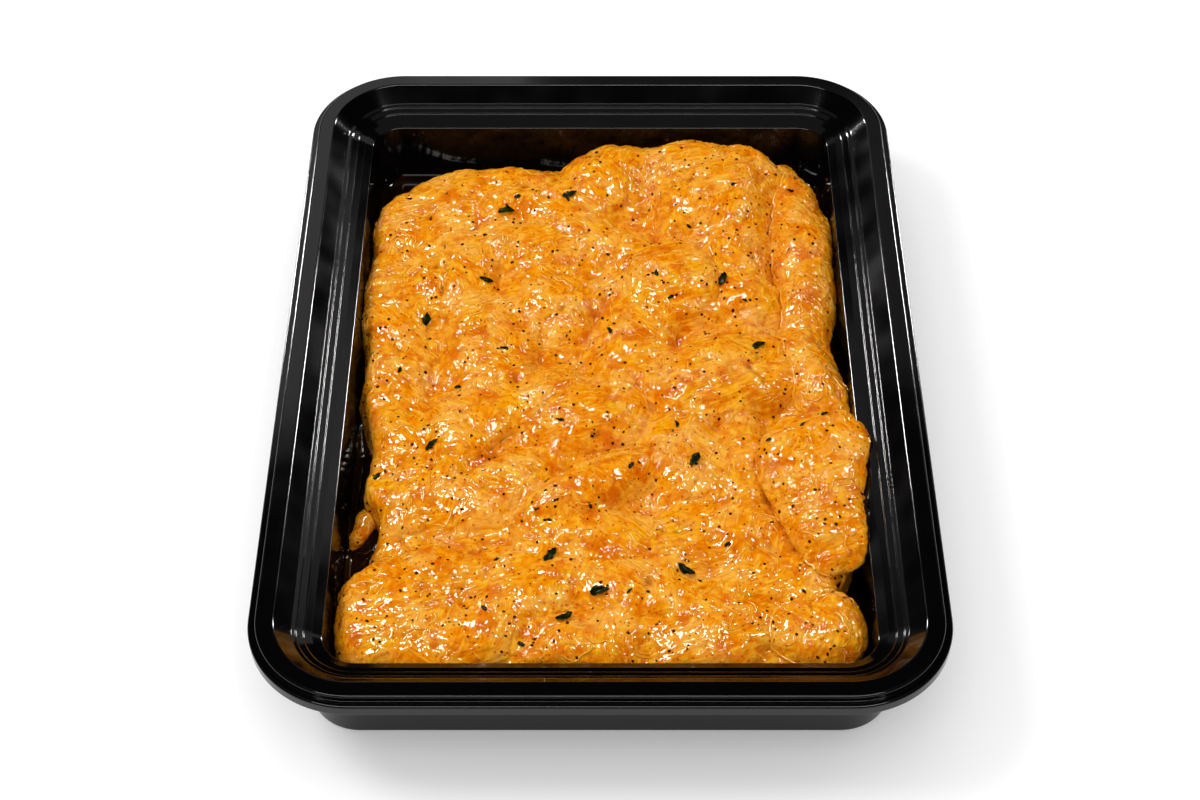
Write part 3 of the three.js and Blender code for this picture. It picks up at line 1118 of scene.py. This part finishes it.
    def build(self, tray: Tray) -> None:
        """Makes every piece of meat and ties it in for its solid.

        Args:
            tray: The tray that holds them.
        """
        flesh = MarinatedFlesh().build()
        surfaces = {name: self.even(name) for name in self.names}
        shared = {name: [other for key, other in surfaces.items() if key != name] for name in self.names}
        moved = {name: self.grown(surfaces[name], shared[name]) for name in self.names}
        for name in self.names:
            piece = new_object(name + "_meat", self.shape(surfaces[name], moved[name], tray))
            tie(piece, flesh, (name,))
            self.pieces.append(piece)

    def surface(self) -> BVHTree:
        """Gives a tree of all the meat's faces, for finding what lies where."""
        points: list[Vector] = []
        faces: list[tuple[int, ...]] = []
        for piece in self.pieces:
            start = len(points)
            points.extend(vertex.co.copy() for vertex in piece.data.vertices)
            faces.extend(tuple(start + i for i in polygon.vertices) for polygon in piece.data.polygons)
        return BVHTree.FromPolygons(points, faces)


class Place(Enum):
    """Where small bits are strewn."""

    ON_TOP = "the upper side of the meat"
    INNER_WALL = "the tray's inner wall"


@dataclass(frozen=True)
class Scatter:
    """One kind of small bit that is strewn over the meat or the inner wall."""

    name: str
    finish: DriedSeasoning | GatheredMarinade
    each_cm2: float
    size_mm: tuple[float, float]
    flatness: tuple[float, float, float]
    rough: float
    seed: int
    slot: Slot = Slot.HERBS
    place: Place = Place.ON_TOP
    wall_reach_mm: tuple[float, float, float] = (55.2, 80.2, 15.5)
    inward_mm: float = 20.0
    patch_mm: float = 9.0

    def chosen(self, tree: Tree) -> Socket:
        """Chooses the faces that get bits.

        Args:
            tree: The tree that gets the nodes.

        Returns:
            Whether a face is chosen.
        """
        normal = add_node(tree, "GeometryNodeInputNormal").outputs["Normal"]
        if self.place is Place.ON_TOP:
            inputs = {0: add_node(tree, "ShaderNodeSeparateXYZ", {0: normal}).outputs["Z"], 1: 0.0}
            return add_node(tree, "FunctionNodeCompare", inputs, operation="GREATER_THAN").outputs[0]
        place = add_node(tree, "GeometryNodeInputPosition").outputs["Position"]
        beyond = add_node(tree, "ShaderNodeVectorMath", {0: place}, operation="ABSOLUTE").outputs["Vector"]
        reach = tuple(side * MM for side in self.wall_reach_mm)
        inputs = {0: beyond, 1: reach}
        over = add_node(tree, "ShaderNodeVectorMath", inputs, operation="SUBTRACT").outputs["Vector"]
        parts = add_node(tree, "ShaderNodeSeparateXYZ", {0: over}).outputs
        wide = add_node(tree, "ShaderNodeMath", {0: parts[0], 1: parts[1]}, operation="MAXIMUM").outputs[0]
        most = add_node(tree, "ShaderNodeMath", {0: wide, 1: parts[2]}, operation="MAXIMUM").outputs[0]
        within = add_node(tree, "FunctionNodeCompare", {0: most, 1: 0.0}, operation="LESS_THAN").outputs[0]
        inputs = {0: place, 1: normal}
        inward = add_node(tree, "ShaderNodeVectorMath", inputs, operation="DOT_PRODUCT").outputs["Value"]
        inputs = {0: inward, 1: -self.inward_mm * MM}
        facing = add_node(tree, "FunctionNodeCompare", inputs, operation="LESS_THAN").outputs[0]
        return add_node(tree, "FunctionNodeBooleanMath", {0: within, 1: facing}, operation="AND").outputs[0]

    def tree(self, material: bpy.types.Material) -> Tree:
        """Builds the node tree that strews the bits over a surface.

        Args:
            material: The bits' material.

        Returns:
            The tree, with inputs for the number, the sizes and the seed.
        """
        sockets = {
            "Surface": "NodeSocketGeometry",
            "Number per square metre": "NodeSocketFloat",
            "Smallest": "NodeSocketFloat",
            "Largest": "NodeSocketFloat",
            "Seed": "NodeSocketInt",
        }
        tree = new_tree(self.name, sockets, "Bits")
        given = add_node(tree, "NodeGroupInput").outputs
        inputs = {"Scale": 1 / (self.patch_mm * MM), "Detail": 1.0}
        cloud = add_node(tree, "ShaderNodeTexNoise", inputs).outputs["Fac"]
        inputs = {"Value": cloud, "From Min": 0.3, "From Max": 0.7, "To Min": 0.35, "To Max": 1.65}
        density = add_node(tree, "ShaderNodeMapRange", inputs).outputs["Result"]
        number = add_node(
            tree, "ShaderNodeMath", {0: density, 1: given["Number per square metre"]}, operation="MULTIPLY"
        ).outputs[0]
        points = add_node(
            tree,
            "GeometryNodeDistributePointsOnFaces",
            {
                "Mesh": given["Surface"],
                "Selection": self.chosen(tree),
                "Density": number,
                "Seed": given["Seed"],
            },
        )
        bit = add_node(
            tree, "GeometryNodeMeshUVSphere", {"Segments": 7, "Rings": 5, "Radius": 0.5}
        ).outputs["Mesh"]
        spread = add_node(
            tree,
            "FunctionNodeRandomValue",
            {"Min": (0.0, 0.0, -math.pi), "Max": (0.4, 0.4, math.pi), "Seed": given["Seed"]},
            data_type="FLOAT_VECTOR",
        ).outputs["Value"]
        turned = add_node(
            tree,
            "FunctionNodeRotateRotation",
            {
                "Rotation": points.outputs["Rotation"],
                "Rotate By": add_node(tree, "FunctionNodeEulerToRotation", {0: spread}).outputs[0],
            },
            rotation_space="LOCAL",
        ).outputs[0]
        size = add_node(
            tree,
            "FunctionNodeRandomValue",
            {2: given["Smallest"], 3: given["Largest"], "Seed": given["Seed"]},
            data_type="FLOAT",
        ).outputs[1]
        scale = add_node(
            tree, "ShaderNodeVectorMath", {0: self.flatness, "Scale": size}, operation="SCALE"
        ).outputs["Vector"]
        placed = add_node(
            tree,
            "GeometryNodeInstanceOnPoints",
            {"Points": points.outputs["Points"], "Instance": bit, "Rotation": turned, "Scale": scale},
        ).outputs["Instances"]
        real = add_node(tree, "GeometryNodeRealizeInstances", {"Geometry": placed}).outputs["Geometry"]
        crumble = add_node(
            tree, "ShaderNodeTexNoise", {"Scale": 1 / (self.size_mm[1] * 0.6 * MM), "Detail": 1.0}
        ).outputs["Color"]
        centred = add_node(
            tree, "ShaderNodeVectorMath", {0: crumble, 1: (0.5, 0.5, 0.5)}, operation="SUBTRACT"
        ).outputs["Vector"]
        push = add_node(
            tree,
            "ShaderNodeVectorMath",
            {0: centred, "Scale": self.rough * self.size_mm[1] * MM},
            operation="SCALE",
        ).outputs["Vector"]
        inputs = {"Geometry": real, "Offset": push}
        broken = add_node(tree, "GeometryNodeSetPosition", inputs).outputs["Geometry"]
        dressed = add_node(
            tree, "GeometryNodeSetMaterial", {"Geometry": broken, "Material": material}
        ).outputs["Geometry"]
        add_node(tree, "NodeGroupOutput", {"Bits": dressed})
        return tree

    def build(self, surfaces: list[bpy.types.Object]) -> bpy.types.Object:
        """Strews the bits over a few pieces.

        Args:
            surfaces: The pieces.

        Returns:
            One piece that holds all the bits.
        """
        material = self.finish.build()
        joined = bmesh.new()
        for surface in surfaces:
            joined.from_mesh(surface.data)
        mesh = bpy.data.meshes.new(self.name)
        joined.to_mesh(mesh)
        joined.free()
        bits = new_object(self.name, mesh)
        values = {
            "Number per square metre": self.each_cm2 * 1e4,
            "Smallest": self.size_mm[0] * MM,
            "Largest": self.size_mm[1] * MM,
            "Seed": self.seed,
        }
        apply_tree(bits, self.tree(material), values)
        tie(bits, material)
        return bits


@dataclass(frozen=True)
class Crumb:
    """A crumb of meat that has come loose and lies in the marinade at the far end."""

    middle_mm: tuple[float, float, float] = (-17.0, 70.5, 2.9)
    half_mm: tuple[float, float, float] = (2.0, 1.3, 1.2)
    rough_mm: float = 0.5

    def build(self) -> None:
        """Makes the crumb."""
        built = bmesh.new()
        bmesh.ops.create_icosphere(built, subdivisions=4, radius=1.0)
        points = np.array([vertex.co for vertex in built.verts]) * self.half_mm + self.middle_mm
        rough = self.rough_mm * Noise.soft(points, 1.3, 91)
        points += rough + 0.3 * self.rough_mm * Noise.soft(points, 0.5, 92)
        for vertex, point in zip(built.verts, points):
            vertex.co = Vector(point) * MM
        crumb = new_object("loose_crumb", finished_mesh("loose_crumb", built))
        tie(crumb, MarinatedFlesh(name="raw_chicken_crumb").build())


@dataclass(frozen=True)
class Stroke:
    """One kind of rill: the noise at which it ends, how level the meat below it is, and its weight."""

    least: float
    upright: float
    weight: float


@dataclass(frozen=True)
class Rills:
    """Thin raised lines of marinade that catch the light: short strokes, and longer ones along seams."""

    wander_mm: float = 4.2
    levels: tuple[float, ...] = (-0.2, 0.25)
    short: Stroke = Stroke(least=0.12, upright=0.35, weight=1.0)
    seam: Stroke = Stroke(least=-0.35, upright=-0.4, weight=1.5)
    seam_mm: float = 0.4
    stroke_mm: float = 3.0
    radius_mm: float = 0.21
    step_mm: float = 0.45
    sides: int = 6
    seed: int = 83

    def wandering(self, points: np.ndarray) -> np.ndarray:
        """Gives the soft noise whose level lines the short strokes follow."""
        broad = Noise.soft(points / MM, self.wander_mm, self.seed)[:, 0]
        return broad + 0.35 * Noise.soft(points / MM, self.wander_mm / 2.5, self.seed + 1)[:, 0]

    @staticmethod
    def gap(points: np.ndarray, neighbour: BVHTree) -> np.ndarray:
        """Measures how far points lie from a neighbour's skin.

        Args:
            points: The points in metres.
            neighbour: The neighbour's faces.

        Returns:
            Distances in millimetres, less than 0 inside the neighbour.
        """
        gaps = np.empty(len(points))
        for i, point in enumerate(points):
            near, normal, _, away = neighbour.find_nearest(Vector(point))
            gaps[i] = math.copysign(away / MM, normal.dot(Vector(point) - near))
        return gaps

    def traced(
        self, mesh: bpy.types.Mesh, values: np.ndarray, kind: Stroke
    ) -> tuple[np.ndarray, np.ndarray, np.ndarray]:
        """Traces where a field crosses zero on one mesh.

        Args:
            mesh: A piece of meat.
            values: The field's value at each vertex.
            kind: The kind of rill.

        Returns:
            Points in metres, their thickness beside the radius, and the pairs of points that are joined.
        """
        points = rows(mesh.vertices, "co")
        start, end = edge_pairs(mesh).T
        crossed = values[start] * values[end] < 0
        part = values[start] / np.where(crossed, values[start] - values[end], 1)
        spots = points[start] + part[:, None] * (points[end] - points[start])
        stroke = Noise.soft(spots / MM, self.stroke_mm, self.seed + 2)[:, 0]
        thick = kind.weight * np.clip((stroke - kind.least) / 0.3, 0, 1)
        upward = rows(mesh.vertex_normals, "vector")[start, 2] > kind.upright
        crossed &= (thick > 0) & upward
        loops = np.empty(len(mesh.loops), dtype=np.int32)
        mesh.loops.foreach_get("edge_index", loops)
        sizes = np.empty(len(mesh.polygons), dtype=np.int32)
        mesh.polygons.foreach_get("loop_total", sizes)
        owner = np.repeat(np.arange(len(sizes)), sizes)
        cut = crossed[loops]
        whole = np.bincount(owner, cut, len(sizes)) == 2
        pairs = loops[cut & whole[owner]].reshape(-1, 2)
        used, numbers = np.unique(pairs, return_inverse=True)
        return spots[used], thick[used], numbers.reshape(-1, 2)

    def tree(self, material: bpy.types.Material) -> Tree:
        """Builds the node tree that turns traced lines into tapering rills.

        Args:
            material: The rills' material.

        Returns:
            The tree, with inputs for the step, the radius and the number of sides.
        """
        sockets = {
            "Lines": "NodeSocketGeometry",
            "Step": "NodeSocketFloat",
            "Radius": "NodeSocketFloat",
            "Sides": "NodeSocketInt",
        }
        tree = new_tree("marinade_rills", sockets, "Rills")
        given = add_node(tree, "NodeGroupInput").outputs
        curve = add_node(tree, "GeometryNodeMeshToCurve", {"Mesh": given["Lines"]}).outputs["Curve"]
        inputs = {"Curve": curve, "Length": given["Step"]}
        evened = add_node(tree, "GeometryNodeResampleCurve", inputs, mode="LENGTH")
        inputs = {"Name": "thickness"}
        thick = add_node(tree, "GeometryNodeInputNamedAttribute", inputs, data_type="FLOAT")
        inputs = {0: thick.outputs["Attribute"], 1: given["Radius"]}
        radius = add_node(tree, "ShaderNodeMath", inputs, operation="MULTIPLY").outputs[0]
        inputs = {"Resolution": given["Sides"], "Radius": 1.0}
        round_line = add_node(tree, "GeometryNodeCurvePrimitiveCircle", inputs)
        inputs = {
            "Curve": evened.outputs["Curve"],
            "Profile Curve": round_line.outputs["Curve"],
            "Fill Caps": True,
            "Scale": radius,
        }
        swept = add_node(tree, "GeometryNodeCurveToMesh", inputs).outputs["Mesh"]
        real = add_node(tree, "GeometryNodeRealizeInstances", {"Geometry": swept}).outputs["Geometry"]
        inputs = {"Geometry": real, "Material": material}
        dressed = add_node(tree, "GeometryNodeSetMaterial", inputs).outputs["Geometry"]
        add_node(tree, "NodeGroupOutput", {"Rills": dressed})
        return tree

    def build(self, meat: Chicken) -> None:
        """Lays the rills over every piece of meat.

        Args:
            meat: The finished chicken.
        """
        mass, *others = [piece.data for piece in meat.pieces]
        main_skin = skin(mass)
        traces = []
        for piece in (mass, *others):
            values = self.wandering(rows(piece.vertices, "co"))
            traces.extend(self.traced(piece, values - level, self.short) for level in self.levels)
        for piece in others:
            values = self.gap(rows(piece.vertices, "co"), main_skin) - self.seam_mm
            traces.append(self.traced(piece, values, self.seam))
        starts = np.cumsum([0] + [len(points) for points, _, _ in traces])
        points = np.concatenate([points for points, _, _ in traces])
        pairs = np.concatenate([pairs + start for (_, _, pairs), start in zip(traces, starts)])
        mesh = bpy.data.meshes.new("marinade_rills")
        mesh.from_pydata(points.tolist(), pairs.tolist(), [])
        thickness = np.concatenate([thick for _, thick, _ in traces]).astype(np.float32)
        mesh.attributes.new("thickness", "FLOAT", "POINT").data.foreach_set("value", thickness)
        rills = new_object("marinade_rills", mesh)
        material = GatheredMarinade().build()
        sizes = {"Step": self.step_mm * MM, "Radius": self.radius_mm * MM, "Sides": self.sides}
        apply_tree(rills, self.tree(material), sizes)
        shade_smooth(rills.data)
        tie(rills, material)


@dataclass
class Marinade:
    """The thin liquid that has run off the meat: a film on the floor that climbs where it touches."""

    level_mm: float = 2.5
    floor_mm: float = 1.72
    climb_mm: float = 1.5
    reach_mm: float = 0.7
    cell_mm: float = 0.5
    into_wall_mm: float = 0.35
    under_meat_mm: float = 1.4

    def film(self, tray: Tray, surface: BVHTree) -> bpy.types.Mesh:
        """Lays the film wherever the floor shows beside the meat.

        Args:
            tray: The tray, for its inner wall.
            surface: The meat's faces.

        Returns:
            A closed mesh.
        """
        half_x = tray.width / 2 - tray.inside[1][0] + 1
        half_y = tray.length / 2 - tray.inside[1][0] + 1
        xs = np.arange(-half_x, half_x, self.cell_mm)
        ys = np.arange(-half_y, half_y, self.cell_mm)
        x, y = (grid.ravel() for grid in np.meshgrid(xs, ys, indexing="ij"))
        wall = tray.clearance(np.stack([x, y, np.full(len(x), self.level_mm)], axis=-1))
        inside = wall > -self.into_wall_mm
        down = Vector((0, 0, -1))
        shown = np.zeros(len(x), dtype=bool)
        for i in np.flatnonzero(inside):
            shown[i] = surface.ray_cast(Vector((x[i] * MM, y[i] * MM, 1.0)), down)[0] is None
        open_floor = KDTree(int(shown.sum()))
        covered = KDTree(int((inside & ~shown).sum()))
        for tree, chosen in ((open_floor, shown), (covered, inside & ~shown)):
            for n, i in enumerate(np.flatnonzero(chosen)):
                tree.insert((x[i], y[i], 0), n)
            tree.balance()
        meat = np.full(len(x), -self.under_meat_mm)
        for i in np.flatnonzero(inside):
            other = covered if shown[i] else open_floor
            away = other.find((x[i], y[i], 0))[2]
            meat[i] = away if shown[i] else -away
        climb = np.exp(-np.maximum(wall, 0) / self.reach_mm) + np.exp(-np.maximum(meat, 0) / self.reach_mm)
        top = self.level_mm + self.climb_mm * np.minimum(climb, 1)
        kept = inside & (meat > -self.under_meat_mm)
        wide = len(ys)
        built = bmesh.new()
        upper: dict[int, bmesh.types.BMVert] = {}
        lower: dict[int, bmesh.types.BMVert] = {}
        for i in np.flatnonzero(kept):
            upper[i] = built.verts.new(Vector((x[i], y[i], top[i])) * MM)
            lower[i] = built.verts.new(Vector((x[i], y[i], self.floor_mm)) * MM)
        for i in upper:
            corners = (i, i + wide, i + wide + 1, i + 1)
            if all(corner in upper for corner in corners):
                built.faces.new([upper[corner] for corner in corners])
                built.faces.new([lower[corner] for corner in reversed(corners)])
        for edge in [edge for edge in built.edges if edge.is_boundary]:
            a, b = edge.verts
            if a.co.z > (self.floor_mm + 0.01) * MM:
                ends = [self.under(lower, upper, vert) for vert in (a, b)]
                built.faces.new((b, a, ends[0], ends[1]))
        bmesh.ops.delete(built, geom=[vert for vert in built.verts if not vert.link_faces], context="VERTS")
        bmesh.ops.recalc_face_normals(built, faces=built.faces)
        return finished_mesh("thin_marinade", built)

    @staticmethod
    def under(lower: dict, upper: dict, vert: bmesh.types.BMVert) -> bmesh.types.BMVert:
        """Finds the lower point that belongs to an upper one."""
        return next(lower[key] for key, other in upper.items() if other is vert)

    def build(self, tray: Tray, meat: Chicken) -> None:
        """Makes the film.

        Args:
            tray: The tray.
            meat: The finished chicken.
        """
        film = new_object("thin_marinade", self.film(tray, meat.surface()))
        tie(film, ThinMarinade().build())


class LampRole(Enum):
    """What a lamp is for: even shading, highlights on whatever is wet, or reflections in the plastic."""

    SHADE = "shade"
    GLEAM = "gleam"
    CARD = "card"


@dataclass(frozen=True)
class SoftLamp:
    """One soft rectangular lamp that faces the tray. Its azimuth runs clockwise from +Y, seen from above."""

    name: str
    azimuth: float
    elevation: float
    distance: float
    size: tuple[float, float]
    power: float
    role: LampRole
    hue: str = "#ffffff"


@dataclass
class Studio:
    """White paper, soft lamps and the camera, placed as the photograph shows them."""

    lamps: tuple[SoftLamp, ...] = (
        SoftLamp("key_left", -80.0, 50.0, 0.9, (0.3, 0.3), 2.5, LampRole.SHADE),
        SoftLamp("overhead_soft", 0.0, 78.0, 1.2, (0.8, 0.8), 1.0, LampRole.SHADE),
        SoftLamp("side_right", 75.0, 46.0, 0.95, (0.3, 0.3), 0.3, LampRole.SHADE),
        SoftLamp("front_fill", 180.0, 60.0, 1.6, (1.2, 0.8), 4.0, LampRole.SHADE),
        SoftLamp("gleam_left", -68.0, 52.0, 0.9, (0.2, 0.2), 7.4, LampRole.GLEAM, "#fff9ec"),
        SoftLamp("gleam_back", -32.0, 66.0, 1.0, (0.2, 0.2), 6.6, LampRole.GLEAM, "#fff9ec"),
        SoftLamp("gleam_right", 62.0, 50.0, 0.95, (0.19, 0.19), 4.8, LampRole.GLEAM, "#fff9ec"),
        SoftLamp("rim_left", -43.0, 17.0, 1.1, (0.12, 0.12), 9.0, LampRole.CARD),
        SoftLamp("rim_right", 43.0, 17.0, 1.1, (0.12, 0.12), 9.0, LampRole.CARD),
        SoftLamp("front_strip", 180.0, 64.0, 1.5, (1.5, 0.2), 18.0, LampRole.CARD),
        SoftLamp("ceiling", 0.0, 90.0, 1.5, (2.0, 1.2), 1.6, LampRole.CARD),
        SoftLamp("card_left", -13.0, 41.0, 1.6, (0.45, 0.4), 0.5, LampRole.CARD),
        SoftLamp("card_right", 34.0, 35.0, 1.6, (0.45, 0.45), 0.36, LampRole.CARD),
        SoftLamp("card_far_left", -34.0, 35.0, 1.6, (0.4, 0.4), 0.14, LampRole.CARD),
        SoftLamp("card_back", 8.0, 42.0, 1.6, (0.7, 0.26), 0.14, LampRole.CARD),
    )
    camera_place: tuple[float, float, float] = (-0.00005, -0.33390, 0.36801)
    camera_dip: float = 47.244
    lens: float = 66.544
    sensor: float = 36.0
    photo: tuple[int, int] = (1200, 800)
    ambient: float = 0.72
    floor_half: float = 4.0
    floor_drop_mm: float = 0.2
    aim_mm: float = 10.0

    def sight(self, pixel: tuple[int, int]) -> tuple[Vector, Vector]:
        """Gives the camera's place and the direction in which it sees a pixel.

        Args:
            pixel: Column and row in the photograph.

        Returns:
            The ray's start in metres and its direction.
        """
        wide, high = self.photo
        reach = self.lens / self.sensor * wide
        ray = Vector((pixel[0] - wide / 2, high / 2 - pixel[1], -reach)).normalized()
        return Vector(self.camera_place), Matrix.Rotation(math.radians(90 - self.camera_dip), 3, "X") @ ray

    @staticmethod
    def hang(
        lamp: SoftLamp, place: Vector, target: Vector, lit: dict[LampRole, bpy.types.Collection]
    ) -> None:
        """Hangs one lamp.

        Args:
            lamp: The lamp.
            place: Where it hangs.
            target: The point that it faces.
            lit: The things that each kind of lamp lights, for the kinds that don't light everything.
        """
        data = bpy.data.lights.new(lamp.name, "AREA")
        data.shape = "RECTANGLE"
        data.size, data.size_y = lamp.size
        data.energy = lamp.power
        data.color = linear(lamp.hue)[:3]
        hung = bpy.data.objects.new(lamp.name, data)
        hung.location = place
        hung.rotation_euler = (target - place).to_track_quat("-Z", "Y").to_euler()
        hung.visible_diffuse = lamp.role is LampRole.SHADE
        hung.visible_glossy = lamp.role is not LampRole.SHADE
        hung.light_linking.receiver_collection = lit.get(lamp.role)
        bpy.context.scene.collection.objects.link(hung)

    @staticmethod
    def sorted_things(shell: bpy.types.Object) -> dict[LampRole, bpy.types.Collection]:
        """Sorts the finished pieces into the plastic and whatever is wet.

        Args:
            shell: The finished tray.

        Returns:
            The pieces that each kind of highlight lamp lights.
        """
        roles = (LampRole.GLEAM, LampRole.CARD)
        lit = {role: bpy.data.collections.new("lit_by_" + role.value) for role in roles}
        solids = list(frame["nodes"].values())
        for thing in bpy.context.scene.objects:
            if thing.type == "MESH" and thing not in solids:
                lit[LampRole.CARD if thing == shell else LampRole.GLEAM].objects.link(thing)
        return lit

    def build(self, shell: bpy.types.Object) -> None:
        """Makes the floor, the lamps, the surrounding light and the camera.

        Args:
            shell: The finished tray.
        """
        lit = self.sorted_things(shell)
        floor = bmesh.new()
        bmesh.ops.create_grid(floor, x_segments=2, y_segments=2, size=self.floor_half)
        mesh = bpy.data.meshes.new("paper_floor")
        floor.to_mesh(mesh)
        floor.free()
        paper = new_object("paper_floor", mesh)
        paper.location.z = -self.floor_drop_mm * MM
        paper.data.materials.append(SeamlessPaper().build())
        middle = Vector((0, 0, self.aim_mm * MM))
        for lamp in self.lamps:
            azimuth, elevation = math.radians(lamp.azimuth), math.radians(lamp.elevation)
            level, up = lamp.distance * math.cos(elevation), lamp.distance * math.sin(elevation)
            place = middle + Vector((level * math.sin(azimuth), level * math.cos(azimuth), up))
            self.hang(lamp, place, middle, lit)
        scene = bpy.context.scene
        world = bpy.data.worlds.new("studio")
        # The world is the scene's own before its visibility is set, because the setting looks it up there.
        scene.world = world
        world.use_nodes = True
        background = world.node_tree.nodes["Background"]
        background.inputs["Color"].default_value = (1.0, 1.0, 1.0, 1.0)
        background.inputs["Strength"].default_value = self.ambient
        world.cycles_visibility.glossy = False
        scene.view_settings.view_transform = "Standard"
        data = bpy.data.cameras.new("camera")
        data.lens = self.lens
        data.sensor_width = self.sensor
        camera = bpy.data.objects.new("camera", data)
        camera.location = self.camera_place
        camera.rotation_euler = (math.radians(90 - self.camera_dip), 0, 0)
        scene.collection.objects.link(camera)
        scene.camera = camera


@dataclass
class HerbLeaves:
    """Rubbed herb leaves on the meat.

    The large ones are laid by their plan in millimetres, the small ones by the pixel of the 1200 by 800
    photograph that shows them.
    """

    large: tuple[tuple[float, float, float], ...] = (
        (-22, 52, 10),
        (-26, 30, 0),
        (-39, 19, 80),
        (-7, 57, 20),
        (28, 29, 70),
        (35, 8, 40),
        (20, -26, 60),
        (-10, -50, 60),
        (17.3, -53, 160),
        (0, -59, 5),
        (-7, -66, 30),
        (-36, -20, 50),
    )
    small_pixels: tuple[tuple[int, int], ...] = (
        (517, 197), (568, 199), (409, 199), (733, 184), (790, 191), (689, 226), (656, 273), (671, 297),
        (400, 370), (458, 387), (504, 348), (430, 448), (377, 476), (677, 424), (694, 463), (631, 465),
        (803, 424), (769, 440), (825, 414), (549, 520), (497, 559), (484, 608), (521, 645), (727, 544),
        (630, 591), (804, 591), (838, 584), (373, 563), (610, 330), (560, 420), (745, 300), (590, 505),
    )
    length: float = 3.9
    width: float = 1.9
    thickness: float = 0.22
    lift: float = 0.34
    small_share: tuple[float, float] = (0.34, 0.6)
    stations: int = 9
    across: int = 5
    seed: int = 7

    def leaf(self, built: bmesh.types.BMesh, place: Matrix, size: float, draw: np.random.Generator) -> None:
        """Adds one curled, pointed leaf with a torn edge.

        Args:
            built: The mesh that gets it.
            place: Where the leaf lies and how it is turned.
            size: Its size, where 1 is the largest.
            draw: Random numbers.
        """
        curl = draw.uniform(-0.25, 0.5)
        twist = draw.uniform(-0.5, 0.5)
        bend = draw.uniform(-0.3, 0.3)
        stump = draw.uniform(0.35, 0.9)
        torn = draw.uniform(0.6, 1.15, size=(self.stations, 2))
        sheets: tuple[list, list] = ([], [])
        for i in range(self.stations):
            u = 2 * i / (self.stations - 1) - 1
            body = (1 - abs(u) ** 2.5) if u > 0 else (1 - stump * abs(u) ** 3)
            for sheet, side in zip(sheets, (1, -1)):
                row = []
                for j in range(self.across):
                    v = 2 * j / (self.across - 1) - 1
                    half = self.width / 2 * max(body, 0.06) * torn[i, 0 if v < 0 else 1]
                    x = u * self.length / 2 + 0.1 * v * self.length * bend
                    y = v * half + bend * self.width * u * u
                    z = curl * v * v * half + twist * u * v * half - 0.12 * u * u
                    z += side * self.thickness / 2 * (1 - 0.7 * max(abs(u), abs(v)) ** 3)
                    row.append(built.verts.new(place @ (Vector((x, y, z + self.lift)) * size * MM)))
                sheet.append(row)
        upper, lower = sheets
        last, side = self.stations - 1, self.across - 1
        for i in range(last):
            for j in range(side):
                built.faces.new((upper[i][j], upper[i + 1][j], upper[i + 1][j + 1], upper[i][j + 1]))
                built.faces.new((lower[i][j], lower[i][j + 1], lower[i + 1][j + 1], lower[i + 1][j]))
        rim = [(i, 0) for i in range(last)] + [(last, j) for j in range(side)]
        rim += [(i, side) for i in range(last, 0, -1)] + [(0, j) for j in range(side, 0, -1)]
        for (a, b), (c, d) in zip(rim, rim[1:] + rim[:1]):
            built.faces.new((upper[a][b], lower[a][b], lower[c][d], upper[c][d]))

    @staticmethod
    def lying(point: Vector, normal: Vector, turn: float) -> Matrix:
        """Gives the place of a leaf that lies on a slope, turned by an angle in radians."""
        slope = Vector((0, 0, 1)).rotation_difference(normal).to_matrix().to_4x4()
        return Matrix.Translation(point) @ slope @ Matrix.Rotation(turn, 4, "Z")

    def build(self, meat: Chicken, studio: Studio) -> None:
        """Lays every leaf on the meat.

        Args:
            meat: The finished chicken.
            studio: The studio, whose camera gives the small leaves' places.
        """
        surface = meat.surface()
        draw = np.random.default_rng(self.seed)
        built = bmesh.new()
        for x, y, turn in self.large:
            point, normal, _, _ = surface.ray_cast(Vector((x * MM, y * MM, 1.0)), Vector((0, 0, -1)))
            self.leaf(built, self.lying(point, normal, math.radians(turn)), draw.uniform(0.92, 1.05), draw)
        for pixel in self.small_pixels:
            point, normal, _, _ = surface.ray_cast(*studio.sight(pixel))
            if point is not None:
                turn = draw.uniform(0, math.pi)
                self.leaf(built, self.lying(point, normal, turn), draw.uniform(*self.small_share), draw)
        bmesh.ops.recalc_face_normals(built, faces=built.faces)
        leaves = new_object("herb_leaves", finished_mesh("herb_leaves", built))
        finish = DriedSeasoning("dried_herb_leaf", "#080b02", "#20280a", 0.9, roughness=0.7, coat=0.05)
        tie(leaves, finish.build())


def main() -> None:
    """Builds the tray, its contents and the studio."""
    logging.basicConfig(level=logging.INFO)
    tray = Tray()
    shell = tray.build()
    meat = Chicken()
    meat.build(tray)
    pepper = DriedSeasoning("cracked_black_pepper", "#1c0a02", "#5a240a", 0.5, coat=0.0)
    chilli = DriedSeasoning("chilli_flake", "#c04200", "#ec7800", 0.6, coat=0.0)
    Scatter("pepper_specks", pepper, 4.6, (0.4, 0.9), (1.0, 0.8, 0.6), 0.5, seed=5).build(meat.pieces)
    Scatter("chilli_flecks", chilli, 5.0, (0.3, 0.7), (1.0, 0.6, 0.35), 0.4, seed=19).build(meat.pieces)
    studio = Studio()
    HerbLeaves().build(meat, studio)
    Rills().build(meat)
    Crumb().build()
    drops = GatheredMarinade("marinade_drops_on_plastic", "#4a2408", "#241004")
    Scatter(
        "wall_drops", drops, 2.2, (0.35, 1.1), (1.0, 1.0, 0.5), 0.1, 29, Slot.MARINADE, Place.INNER_WALL
    ).build([shell])
    Marinade().build(tray, meat)
    studio.build(shell)


if __name__ == "__main__":
    main()
